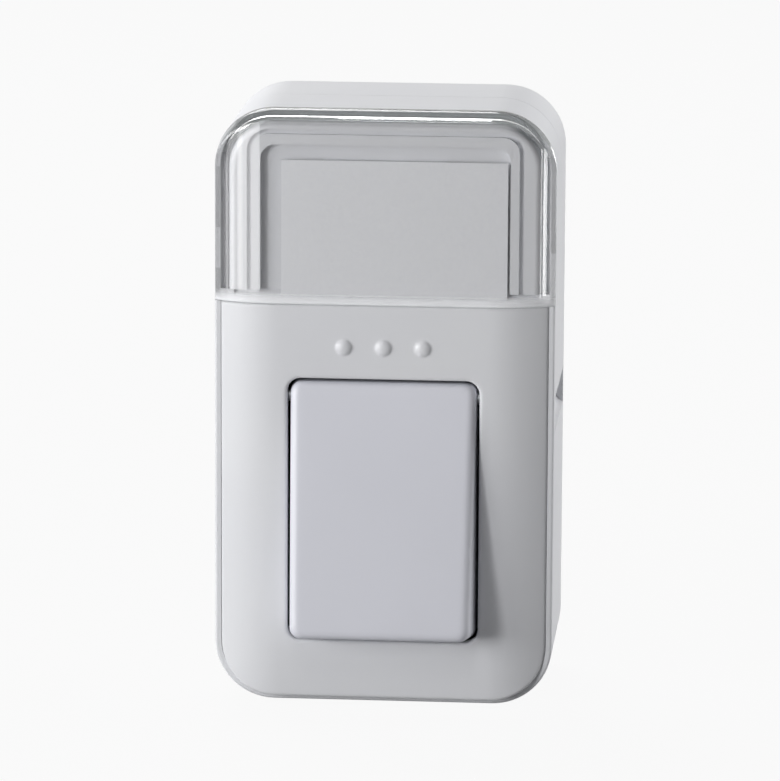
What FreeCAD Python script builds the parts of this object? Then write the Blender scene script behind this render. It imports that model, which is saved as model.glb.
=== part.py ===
import FreeCAD, Part
import math
import os
import Sketcher

# Wall push of a wireless doorbell, self powered by a small press generator.
# Millimetres. X to the viewer's right, Y towards the wall, Z up.
# The origin is the middle of the wall face, so a depth d in front of the wall is the plane y = -d.

V = FreeCAD.Vector

# Driving sizes, in millimetres unless a name says otherwise
SIZES = {
    # Case outline, and its layers from the wall outwards
    "body_width": 48.0,
    "body_height": 85.2,
    "corner_radius": 8.5,
    "shell_wall": 1.8,
    "base_thickness": 2.0,
    "rear_edge_radius": 0.6,
    "parting_depth": 13.0,
    "parting_gap": 0.1,
    "housing_depth": 12.0,
    "face_rise": 2.5,
    "lip_inset": 0.95,
    "lip_height": 1.5,
    "shell_gap": 0.1,
    # Front rim and the rolled sides of the front face
    "rim_width": 0.87,
    "rim_rise": 0.65,
    "rim_edge_radius": 0.35,
    "roll_width": 8.3,
    "part_gap": 0.05,
    "window_height": 27.57,
    # Deck inside the front housing, with the well behind the button
    "deck_thickness": 1.8,
    "cover_seat_drop": 0.8,
    "well_side": 3.05,
    "well_head": 2.13,
    "well_foot": 3.8,
    # Scooped release groove on both sides
    "groove_height": 5.0,
    "groove_sink": 1.7,
    "groove_centre": -0.8,
    "groove_rear_depth": 2.0,
    "groove_front_drop": 0.4,
    "groove_backing": 1.6,
    # Snap hooks between the two shells
    "hook_offset": 10.0,
    "hook_width": 6.0,
    "hook_thickness": 1.2,
    "hook_end_height": 3.0,
    "hook_nose_height": 4.2,
    "hook_nose_length": 1.4,
    "hook_nose_rise": 0.9,
    "hook_gap": 0.2,
    # Wall fixing
    "wall_hole_spacing": 60.0,
    "wall_hole_radius": 2.1,
    "countersink": 1.2,
    "pad_width": 26.0,
    "pad_height": 40.0,
    "pad_thickness": 0.6,
    "pad_gap": 0.2,
    # Label frame behind the clear cover
    "frame_side_inset": 2.1,
    "frame_head_inset": 2.0,
    "frame_rise": 0.15,
    "frame_edge_radius": 1.0,
    "frame_line_side": 2.52,
    "frame_line_head": 1.12,
    "frame_line_width": 0.65,
    "frame_line_depth": 0.6,
    "frame_line_radius": 3.0,
    "pocket_side": 4.4,
    "pocket_head": 3.25,
    "pocket_depth": 1.1,
    "pocket_radius": 2.0,
    "sill_rise": 1.62,
    "sill_lip": 0.07,
    "sill_front_rise": 0.3,
    "sill_end_width": 1.93,
    "sill_end_drop": 0.1,
    "channel_sink": 1.5,
    # Label card and its ribs
    "card_edge_gap": 0.35,
    "card_play": 2.9,
    "card_lift": 0.87,
    "card_head_gap": 2.15,
    "card_thickness": 0.3,
    "card_rib_height": 0.7,
    "card_rib_gap": 0.05,
    "card_rib_width": 1.2,
    "card_rib_spacing": 16.0,
    "card_rib_inset": 0.5,
    # Clear cover
    "clear_plate": 1.0,
    "clear_wall": 1.2,
    "clear_lip": 0.75,
    "clear_lip_root": 0.5,
    "clear_skirt_gap": 0.1,
    "clear_top_radius": 2.0,
    # Opaque front cover
    "cover_plate": 1.8,
    "cover_edge_radius": 0.25,
    "opening_side": 10.45,
    "opening_drop": 10.56,
    "opening_foot": 9.2,
    "opening_radius": 1.9,
    "opening_edge_radius": 0.4,
    "dot_radius": 1.2,
    "dot_sink": 0.35,
    "dot_pitch": 5.56,
    "dot_drop": 6.03,
    "stake_radius": 1.0,
    "stake_head_radius": 1.7,
    "stake_head_height": 1.0,
    "stake_gap": 0.08,
    "stake_side": 4.4,
    "stake_drop": 5.03,
    "stake_foot": 11.4,
    # Button and its hinge
    "button_gap": 0.5,
    "button_rise": 1.5,
    "button_stand": 5.6,
    "button_seat_gap": 0.1,
    "button_side_slope": 0.07,
    "button_wall": 1.4,
    "button_plate": 1.6,
    "button_corner_radius": 1.6,
    "button_edge_radius": 1.0,
    "hinge_drop": 2.87,
    "hinge_rise": 0.4,
    "pin_radius": 1.0,
    "pin_seat_gap": 0.02,
    "pin_running_gap": 0.05,
    "pin_reach": 2.65,
    "hinge_eye_radius": 2.2,
    "hinge_side_gap": 0.5,
    "hinge_lug_width": 2.2,
    "hinge_ear_width": 2.4,
    "hinge_ear_inset": 0.7,
    "catch_drop": 1.7,
    "catch_gap": 0.3,
    "catch_thickness": 1.0,
    "catch_inner": 4.0,
    "catch_outer": 9.0,
    "foot_rise": 7.9,
    "foot_thickness": 1.6,
    "foot_half_width": 3.0,
    "stop_gap": 3.3,
    "stop_thickness": 1.6,
    "stop_half_width": 11.0,
    "stop_rise": 0.1,
    "stop_foot": 5.2,
    "stop_web": 1.2,
    # Return springs
    "spring_side": 4.75,
    "spring_rise": 4.9,
    "spring_radius": 2.4,
    "spring_wire": 0.5,
    "spring_turns": 7,
    "spring_post_radius": 1.7,
    "spring_post_length": 2.5,
    "spring_seat_gap": 0.05,
    # Circuit board, its screws and the posts under it
    "post_length": 2.4,
    "post_radius": 1.8,
    "post_side": 8.0,
    "post_upper": 22.0,
    "post_lower": -14.0,
    "board_thickness": 1.2,
    "board_side": 4.0,
    "board_end": 5.6,
    "board_corner_radius": 3.0,
    "boss_radius": 2.2,
    "boss_side": 2.0,
    "boss_head": 4.0,
    "boss_foot": 6.0,
    "screw_radius": 0.95,
    "screw_length": 8.0,
    "screw_gap": 0.05,
    "screw_head_radius": 1.9,
    "screw_head_height": 1.2,
    # Press generator, each rise counted from the button's lower edge
    "core_lift": 4.0,
    "core_thickness": 1.6,
    "core_half_width": 10.0,
    "core_leg": 2.7,
    "core_middle": 4.4,
    "core_bar_rise": -0.6,
    "core_bar_height": 3.0,
    "core_tip_rise": 17.9,
    "bobbin_gap": 0.1,
    "bobbin_wall": 0.6,
    "bobbin_flange": 0.8,
    "bobbin_rise": 3.1,
    "bobbin_length": 11.8,
    "bobbin_half_width": 5.9,
    "bobbin_half_depth": 4.3,
    "winding_step": 0.3,
    "winding_radius": 1.5,
    "terminal_radius": 0.3,
    "terminal_offset": 3.5,
    "terminal_tail": 0.5,
    "pole_gap_rear": 0.2,
    "pole_gap_front": 1.1,
    "pole_thickness": 1.0,
    "pole_half_width": 9.6,
    "pole_rise": 15.7,
    "pole_height": 8.6,
    "magnet_half_width": 7.0,
    "magnet_height": 2.4,
    "rocker_rise": 20.7,
    "rocker_height": 3.8,
    "rocker_half_width": 9.8,
    "rocker_pin_rise": 22.5,
    "rocker_pin_radius": 0.75,
    "rocker_pin_half_length": 12.0,
    "cheek_inner": 10.2,
    "cheek_rise": 19.5,
    "cheek_height": 6.2,
    "cheek_lift": 7.4,
    "blade_thickness": 0.3,
    "blade_half_width": 2.5,
    "blade_foot_rise": 21.7,
    "blade_length": 16.0,
    "blade_lift": 6.4,
    "blade_clearance": 0.7,
    "cradle_rise": -1.3,
    "cradle_height": 28.2,
    "cradle_half_width": 12.2,
    "cradle_base": 1.4,
    "cradle_gap": 0.3,
    "wing_inner": 6.4,
    "wing_rise": 1.9,
    "wing_height": 6.0,
    "wing_thickness": 1.5,
    # Parts on the circuit board
    "chip_side": 5.0,
    "chip_height": 0.9,
    "chip_centre_height": 14.0,
    "crystal_width": 3.2,
    "crystal_depth": 0.8,
    "crystal_height": 2.5,
    "crystal_side": 13.5,
    "capacitor_radius": 3.15,
    "capacitor_length": 7.0,
    "capacitor_side": 9.0,
    "capacitor_height": 20.0,
    "rectifier_width": 4.6,
    "rectifier_depth": 1.6,
    "rectifier_height": 3.9,
    "rectifier_side": 13.0,
    "rectifier_low": 2.0,
    "antenna_radius": 2.4,
    "antenna_wire": 0.7,
    "antenna_turns": 9,
    "antenna_half_length": 9.5,
    "antenna_head": 7.5,
    "antenna_lift": 0.4,
}


class Length:
    """A size as the text of a spreadsheet formula together with its present value."""

    def __init__(self, text, value):
        self.text = text
        self.value = value

    @staticmethod
    def of(other):
        return other if isinstance(other, Length) else Length(str(other), float(other))

    def _join(self, sign, other, value):
        return Length("(" + self.text + " " + sign + " " + other.text + ")", value)

    def __add__(self, other):
        other = Length.of(other)
        return self._join("+", other, self.value + other.value)

    def __radd__(self, other):
        return Length.of(other) + self

    def __sub__(self, other):
        other = Length.of(other)
        return self._join("-", other, self.value - other.value)

    def __rsub__(self, other):
        return Length.of(other) - self

    def __mul__(self, other):
        other = Length.of(other)
        return self._join("*", other, self.value * other.value)

    def __rmul__(self, other):
        return Length.of(other) * self

    def __truediv__(self, other):
        other = Length.of(other)
        return self._join("/", other, self.value / other.value)

    def __neg__(self):
        return Length("(0 - " + self.text + ")", -self.value)


PLACES = {}


def size(name):
    """A driving size, or a place worked out from the driving sizes, as a Length."""
    return PLACES[name] if name in PLACES else Length("Sizes." + name, SIZES[name])


def work_out(**lengths):
    """Keep places that follow from the driving sizes."""
    PLACES.update(lengths)


doc = FreeCAD.newDocument("DoorbellPush")
sheet = doc.addObject("Spreadsheet::Sheet", "Sizes")
for row, (alias, number) in enumerate(SIZES.items(), start=1):
    sheet.set("A" + str(row), alias)
    sheet.set("B" + str(row), str(number))
    sheet.setAlias("B" + str(row), alias)
doc.recompute()

NODES = []


def node(name, obj):
    """Name an object as a finished sub-part and remember it for the export."""
    obj.Label = name
    NODES.append(obj)
    return obj


def bind(obj, prop, length):
    """Bind a property to a formula of the sheet."""
    obj.setExpression(prop, Length.of(length).text)


# Sketches

def fix_point(sketch, geo, point, x, y):
    """Hold a sketch point at a place that follows the sheet."""
    for kind, length in (("DistanceX", x), ("DistanceY", y)):
        if length is not None:
            length = Length.of(length)
            index = sketch.addConstraint(Sketcher.Constraint(kind, -1, 1, geo, point, length.value))
            sketch.setExpression("Constraints[" + str(index) + "]", length.text)


def fix_radius(sketch, geo, length):
    index = sketch.addConstraint(Sketcher.Constraint("Radius", geo, length.value))
    sketch.setExpression("Constraints[" + str(index) + "]", length.text)


def box_path(sketch, corners):
    """Closed outline of level and upright lines. Corners are (x, y) or (x, y, radius)."""
    count = len(corners)
    points = [(Length.of(c[0]), Length.of(c[1])) for c in corners]
    radii = [Length.of(c[2]) if len(c) > 2 else None for c in corners]
    flat = [(p[0].value, p[1].value) for p in points]

    def toward(i, j, distance):
        dx, dy = flat[j][0] - flat[i][0], flat[j][1] - flat[i][1]
        span = math.hypot(dx, dy)
        return V(flat[i][0] + dx / span * distance, flat[i][1] + dy / span * distance, 0)

    lines = []
    for i in range(count):
        j = (i + 1) % count
        start = toward(i, j, radii[i].value if radii[i] else 0.0)
        end = toward(j, i, radii[j].value if radii[j] else 0.0)
        lines.append(sketch.addGeometry(Part.LineSegment(start, end), False))
        level = abs(flat[i][1] - flat[j][1]) < abs(flat[i][0] - flat[j][0])
        sketch.addConstraint(Sketcher.Constraint("Horizontal" if level else "Vertical", lines[i]))
        if level:
            fix_point(sketch, lines[i], 1, None, points[i][1])
        else:
            fix_point(sketch, lines[i], 1, points[i][0], None)
    for i in range(count):
        before = lines[i - 1]
        if radii[i] is None:
            sketch.addConstraint(Sketcher.Constraint("Coincident", before, 2, lines[i], 1))
            continue
        enter = toward(i, i - 1, radii[i].value)
        leave = toward(i, (i + 1) % count, radii[i].value)
        corner = V(flat[i][0], flat[i][1], 0)
        centre = enter + leave - corner
        middle = centre + (corner - centre).normalize() * radii[i].value
        arc = sketch.addGeometry(Part.Arc(enter, middle, leave), False)
        turn = (corner - enter).cross(leave - corner).z
        first, last = (1, 2) if turn > 0 else (2, 1)
        sketch.addConstraint(Sketcher.Constraint("Tangent", before, 2, arc, first))
        sketch.addConstraint(Sketcher.Constraint("Tangent", arc, last, lines[i], 1))
        fix_radius(sketch, arc, radii[i])


def round_box(sketch, x0, x1, y0, y1, radius=None):
    """Rectangle between four sides, with one radius at every corner."""
    tail = () if radius is None else (radius,)
    box_path(sketch, [(x0, y0) + tail, (x1, y0) + tail, (x1, y1) + tail, (x0, y1) + tail])


def polygon(sketch, corners):
    """Closed outline of straight lines through the given corners."""
    count = len(corners)
    points = [(Length.of(x), Length.of(y)) for x, y in corners]
    lines = []
    for i in range(count):
        a, b = points[i], points[(i + 1) % count]
        start, end = V(a[0].value, a[1].value, 0), V(b[0].value, b[1].value, 0)
        lines.append(sketch.addGeometry(Part.LineSegment(start, end), False))
    for i in range(count):
        sketch.addConstraint(Sketcher.Constraint("Coincident", lines[i - 1], 2, lines[i], 1))
        fix_point(sketch, lines[i], 1, points[i][0], points[i][1])


def circle(sketch, x, y, radius):
    x, y, radius = Length.of(x), Length.of(y), Length.of(radius)
    shape = Part.Circle(V(x.value, y.value, 0), V(0, 0, 1), radius.value)
    geo = sketch.addGeometry(shape, False)
    fix_point(sketch, geo, 3, x, y)
    fix_radius(sketch, geo, radius)


# Bodies and their features

FRONT, PLAN, SIDE = "XZ_Plane", "XY_Plane", "YZ_Plane"


def new_body(name):
    return node(name, doc.addObject("PartDesign::Body", name.title().replace("_", "")))


def sketch_on(body, plane, offset, draw):
    """A sketch on one of the body's own origin planes, moved along that plane's normal."""
    sketch = body.newObject("Sketcher::SketchObject", body.Name + "Sketch")
    support = [f for f in body.Origin.OriginFeatures if f.Role == plane][0]
    sketch.AttachmentSupport = [(support, "")]
    sketch.MapMode = "FlatFace"
    bind(sketch, "AttachmentOffset.Base.z", offset)
    draw(sketch)
    return sketch


def pad(body, low, high, draw, plane=FRONT):
    """Material between two distances along the plane's normal, depths on the front plane."""
    feature = body.newObject("PartDesign::Pad", body.Name + "Pad")
    feature.Profile = sketch_on(body, plane, low, draw)
    bind(feature, "Length", Length.of(high) - Length.of(low))
    return feature


def pocket(body, low, high, draw, plane=FRONT):
    """The same span taken away, cut back from its far end."""
    feature = body.newObject("PartDesign::Pocket", body.Name + "Pocket")
    feature.Profile = sketch_on(body, plane, high, draw)
    bind(feature, "Length", Length.of(high) - Length.of(low))
    return feature


def chosen_edges(shape, test):
    """Names of the edges whose bounding box passes the test."""
    return ["Edge" + str(i) for i, e in enumerate(shape.Edges, start=1) if test(e.BoundBox, e)]


def dress(body, kind, prop, length, test):
    """Round or bevel the chosen edges of the body's last feature."""
    doc.recompute()
    base = body.Tip
    names = chosen_edges(base.Shape, test)
    feature = body.newObject("PartDesign::" + kind, body.Name + kind)
    feature.Base = (base, names)
    bind(feature, prop, length)
    return feature


def mirrored(body, features, plane=SIDE):
    """Copy features to the other side of one of the body's origin planes."""
    doc.recompute()
    support = [f for f in body.Origin.OriginFeatures if f.Role == plane][0]
    feature = body.newObject("PartDesign::Mirrored", body.Name + "Mirror")
    feature.Originals = features
    feature.MirrorPlane = (support, [""])
    body.Tip = feature
    return feature


def level(value, target, slack=0.01):
    return abs(value - target) < slack


# Plain primitives for the small stamped and cut parts

def block(name, x0, x1, d0, d1, z0, z1):
    """A box between two X sides, two depths and two heights."""
    box = doc.addObject("Part::Box", name)
    for prop, low, high in (("Length", x0, x1), ("Width", d0, d1), ("Height", z0, z1)):
        bind(box, prop, Length.of(high) - Length.of(low))
    bind(box, "Placement.Base.x", x0)
    bind(box, "Placement.Base.y", -Length.of(d1))
    bind(box, "Placement.Base.z", z0)
    return box


def rod(name, radius, length, x, d, z, along):
    """A cylinder that starts at (x, depth d, z) and runs along +X or towards the wall."""
    cylinder = doc.addObject("Part::Cylinder", name)
    bind(cylinder, "Radius", radius)
    bind(cylinder, "Height", length)
    turn = FreeCAD.Rotation(V(0, 1, 0), 90) if along == "X" else FreeCAD.Rotation(V(1, 0, 0), -90)
    cylinder.Placement = FreeCAD.Placement(V(0, 0, 0), turn)
    bind(cylinder, "Placement.Base.x", x)
    bind(cylinder, "Placement.Base.y", -Length.of(d))
    bind(cylinder, "Placement.Base.z", z)
    return cylinder


def joined(name, shapes):
    fuse = doc.addObject("Part::MultiFuse", name)
    fuse.Shapes = shapes
    return fuse


def cut(name, base, tool):
    result = doc.addObject("Part::Cut", name)
    result.Base = base
    result.Tool = tool
    return result


def common(name, shapes):
    result = doc.addObject("Part::MultiCommon", name)
    result.Shapes = shapes
    return result


TURN_TO = {
    FRONT: FreeCAD.Rotation(V(1, 0, 0), 90),
    PLAN: FreeCAD.Rotation(),
    SIDE: FreeCAD.Rotation(V(1, 1, 1), 120),
}
OFFSET_AXIS = {FRONT: "y", PLAN: "z", SIDE: "x"}


def prism(name, plane, low, high, draw):
    """A free extrusion between two distances along a plane's normal, depths on the front plane."""
    sketch = doc.addObject("Sketcher::SketchObject", name + "Sketch")
    sketch.Placement = FreeCAD.Placement(V(0, 0, 0), TURN_TO[plane])
    start = -Length.of(low) if plane == FRONT else Length.of(low)
    bind(sketch, "Placement.Base." + OFFSET_AXIS[plane], start)
    draw(sketch)
    solid = doc.addObject("Part::Extrusion", name)
    solid.Base = sketch
    solid.DirMode = "Normal"
    solid.Solid = True
    bind(solid, "LengthFwd", Length.of(high) - Length.of(low))
    return solid


# Places that follow from the driving sizes, case first and then outwards and inwards from it

half_width = size("body_width") / 2
half_height = size("body_height") / 2
radius = size("corner_radius")
wall = size("shell_wall")
rim = size("rim_width")
gap = size("part_gap")
base = size("base_thickness")
parting = size("parting_depth")
seam = parting + size("housing_depth")
face = seam + size("face_rise")
split = half_height - size("window_height")
crease_depth = seam + size("rim_rise")
crease_x = half_width - rim
roll_drop = face - crease_depth
roll_radius = (size("roll_width") * size("roll_width") + roll_drop * roll_drop) / (roll_drop * 2)
flat_x = crease_x - size("roll_width")

work_out(
    cover_seat_depth=seam - size("cover_seat_drop"),
    skirt_channel_depth=seam - size("channel_sink"),
    groove_front_depth=seam - size("groove_front_drop"),
    hook_end_depth=base + size("hook_end_height"),
    hook_nose_depth=base + size("hook_nose_height"),
    opening_half_width=half_width - size("opening_side"),
    opening_top=split - size("opening_drop"),
    opening_bottom=-half_height + size("opening_foot"),
    dot_height=split - size("dot_drop"),
    stake_offset=half_width - size("stake_side"),
    stake_upper=split - size("stake_drop"),
)
work_out(
    deck_rear_depth=size("cover_seat_depth") - size("deck_thickness"),
    well_half_width=size("opening_half_width") + size("well_side"),
    well_top=size("opening_top") + size("well_head"),
    well_bottom=size("opening_bottom") - size("well_foot"),
    stake_lower=size("opening_bottom") + size("stake_foot"),
    pin_half_length=size("opening_half_width") + size("pin_reach"),
    spring_offset=size("opening_half_width") - size("spring_side"),
    button_bottom=size("opening_bottom") + size("button_rise"),
    button_tip_depth=face + size("button_stand"),
    button_rear_depth=size("cover_seat_depth") + size("button_seat_gap"),
    hinge_height=size("opening_top") - size("hinge_drop"),
    hinge_depth=size("cover_seat_depth") + size("hinge_rise"),
    stop_bottom=size("opening_bottom") - size("stop_foot"),
)
button_low = size("button_bottom")
work_out(
    foot_height=button_low + size("foot_rise"),
    spring_height=button_low + size("spring_rise"),
    stop_top=button_low + size("stop_rise"),
    stop_depth=size("deck_rear_depth") - size("stop_gap"),
)

# Label frame, from its outer edge inwards
work_out(
    frame_half_width=half_width - size("frame_side_inset"),
    frame_top=half_height - size("frame_head_inset"),
    frame_bottom=split + size("sill_rise"),
    frame_depth=seam + size("frame_rise"),
    sill_low=split + size("sill_lip"),
    sill_front_depth=seam + size("sill_front_rise"),
    sill_side_depth=seam - size("sill_end_drop"),
    sill_half_width=crease_x - size("sill_end_width"),
    card_low=split + size("card_lift"),
)
work_out(
    line_half_width=size("frame_half_width") - size("frame_line_side"),
    line_top=size("frame_top") - size("frame_line_head"),
    pocket_half_width=size("frame_half_width") - size("pocket_side"),
    pocket_top=size("frame_top") - size("pocket_head"),
    pocket_floor_depth=size("frame_depth") - size("pocket_depth"),
)

# Circuit board, and the generator in front of it
board_rear = base + size("post_length")
board_front = board_rear + size("board_thickness")
work_out(
    board_half_width=half_width - size("board_side"),
    board_half_height=half_height - size("board_end"),
)
work_out(
    boss_offset=size("board_half_width") - size("boss_side"),
    boss_upper=size("board_half_height") - size("boss_head"),
    boss_lower=-size("board_half_height") + size("boss_foot"),
    post_offset=size("board_half_width") - size("post_side"),
    crystal_offset=size("board_half_width") - size("crystal_side"),
    capacitor_offset=-size("board_half_width") + size("capacitor_side"),
    rectifier_offset=-size("board_half_width") + size("rectifier_side"),
    antenna_height=size("board_half_height") - size("antenna_head"),
    core_depth=board_front + size("core_lift"),
    cheek_front_depth=board_front + size("cheek_lift"),
    terminal_end_depth=board_rear - size("terminal_tail"),
    core_bar_low=button_low + size("core_bar_rise"),
    core_tip=button_low + size("core_tip_rise"),
    bobbin_low=button_low + size("bobbin_rise"),
    pole_low=button_low + size("pole_rise"),
    rocker_low=button_low + size("rocker_rise"),
    rocker_pin_height=button_low + size("rocker_pin_rise"),
    cheek_low=button_low + size("cheek_rise"),
    blade_foot_low=button_low + size("blade_foot_rise"),
    cradle_low=button_low + size("cradle_rise"),
    wing_low=button_low + size("wing_rise"),
)
work_out(
    core_bar_high=size("core_bar_low") + size("core_bar_height"),
    bobbin_high=size("bobbin_low") + size("bobbin_length"),
    pole_high=size("pole_low") + size("pole_height"),
    magnet_low=size("rocker_low") - size("magnet_height"),
    rocker_high=size("rocker_low") + size("rocker_height"),
    cheek_high=size("cheek_low") + size("cheek_height"),
    blade_tip=size("blade_foot_low") - size("blade_length"),
    cradle_high=size("cradle_low") + size("cradle_height"),
    wing_high=size("wing_low") + size("wing_height"),
)

hinge_z = size("hinge_height")
hinge_d = size("hinge_depth")
groove_radius = (
    size("groove_height") * size("groove_height") / 4 + size("groove_sink") * size("groove_sink")
) / (size("groove_sink") * 2)
boss_places = [
    (side * size("boss_offset"), size(height))
    for side in (-1, 1)
    for height in ("boss_upper", "boss_lower")
]
stake_places = [
    (side * size("stake_offset"), size(height))
    for side in (-1, 1)
    for height in ("stake_upper", "stake_lower")
]


def outline(inset):
    """The rounded case outline, moved in by an inset."""
    x, z = half_width - inset, half_height - inset
    return lambda sketch: round_box(sketch, -x, x, -z, z, radius - inset)


def groove_tools(sketch):
    """Circles whose edge scoops the release grooves out of both sides."""
    centre = half_width - size("groove_sink") + groove_radius
    for side in (-1, 1):
        circle(sketch, side * centre, size("groove_centre"), groove_radius)


def groove_backings(sketch):
    """Inner thickening that keeps a wall behind each groove."""
    inner = half_width - size("groove_sink") - size("groove_backing")
    outer = half_width - size("lip_inset")
    reach = size("groove_height") / 2 + size("groove_backing")
    z0, z1 = size("groove_centre") - reach, size("groove_centre") + reach
    round_box(sketch, inner, outer, z0, z1)
    round_box(sketch, -outer, -inner, z0, z1)


def circles_at(places, radius_of):
    def draw(sketch):
        for x, z in places:
            circle(sketch, x, z, radius_of)
    return draw


def hooks_at(z0, z1, extra):
    """Outlines of the four snap hooks, or of their windows, between two heights."""
    def draw(sketch):
        reach = size("hook_width") / 2 + extra
        for side in (-1, 1):
            x = side * size("hook_offset")
            round_box(sketch, x - reach, x + reach, z0, z1)
            round_box(sketch, x - reach, x + reach, -Length.of(z1), -Length.of(z0))
    return draw


hook_outer = half_height - wall - size("hook_gap")
hook_inner = hook_outer - size("hook_thickness")
nose_outer = hook_outer + size("hook_nose_rise")
nose_end = size("hook_nose_depth") + size("hook_nose_length")


# Wall shell: the tray that is fixed to the wall

def make_wall_shell():
    body = new_body("wall_shell")
    pad(body, 0, parting, outline(0))
    pocket(body, size("base_thickness"), parting, outline(wall))
    x, z = half_width - size("lip_inset"), half_height - size("lip_inset")

    def lip(sketch):
        round_box(sketch, -x, x, -z, z, radius - size("lip_inset"))
        outline(wall)(sketch)

    pad(body, parting, parting + size("lip_height"), lip)
    lip_end = parting + size("lip_height")
    pad(body, size("base_thickness"), lip_end, groove_backings)
    pocket(body, size("groove_rear_depth"), lip_end, groove_tools)
    window_top = half_height - wall + size("hook_nose_rise")
    window = hooks_at(half_height - wall - 1, window_top, size("hook_gap"))
    pocket(body, size("hook_nose_depth") - size("hook_gap"), nose_end + size("hook_gap"), window)
    posts = [
        (side * size("post_offset"), size(height))
        for side in (-1, 1)
        for height in ("post_upper", "post_lower")
    ]
    pad(body, size("base_thickness"), board_rear, circles_at(posts, size("post_radius")))
    reach = size("wall_hole_spacing") / 2
    holes = [(0, reach), (0, -reach)]
    pocket(body, 0, size("base_thickness"), circles_at(holes, size("wall_hole_radius")))
    inside = SIZES["base_thickness"]
    across = SIZES["wall_hole_radius"] * 2
    dress(body, "Chamfer", "Size", size("countersink"), lambda box, e: (
        level(box.YMax, -inside) and level(box.YMin, -inside)
        and level(box.XLength, across, 0.05) and level(box.ZLength, across, 0.05)))
    pad_x = size("pad_width") / 2 + size("pad_gap")
    pad_z = size("pad_height") / 2 + size("pad_gap")
    pocket(body, 0, size("pad_thickness"), lambda s: round_box(s, -pad_x, pad_x, -pad_z, pad_z))
    far_x, far_z = half_width.value, half_height.value
    reach_in = radius.value
    dress(body, "Fillet", "Radius", size("rear_edge_radius"), lambda box, e: (
        level(box.YMax, 0) and level(box.YMin, 0)
        and (box.XMax > far_x - reach_in - 0.1 or box.XMin < reach_in + 0.1 - far_x)
        and (level(max(box.XMax, -box.XMin), far_x) or level(max(box.ZMax, -box.ZMin), far_z))))
    return body


def make_adhesive_pad():
    x, z = size("pad_width") / 2, size("pad_height") / 2
    return node("adhesive_pad", block("AdhesivePad", -x, x, 0, size("pad_thickness"), -z, z))


# Front housing: side walls, deck, label frame and the rim round the front cover

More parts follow.
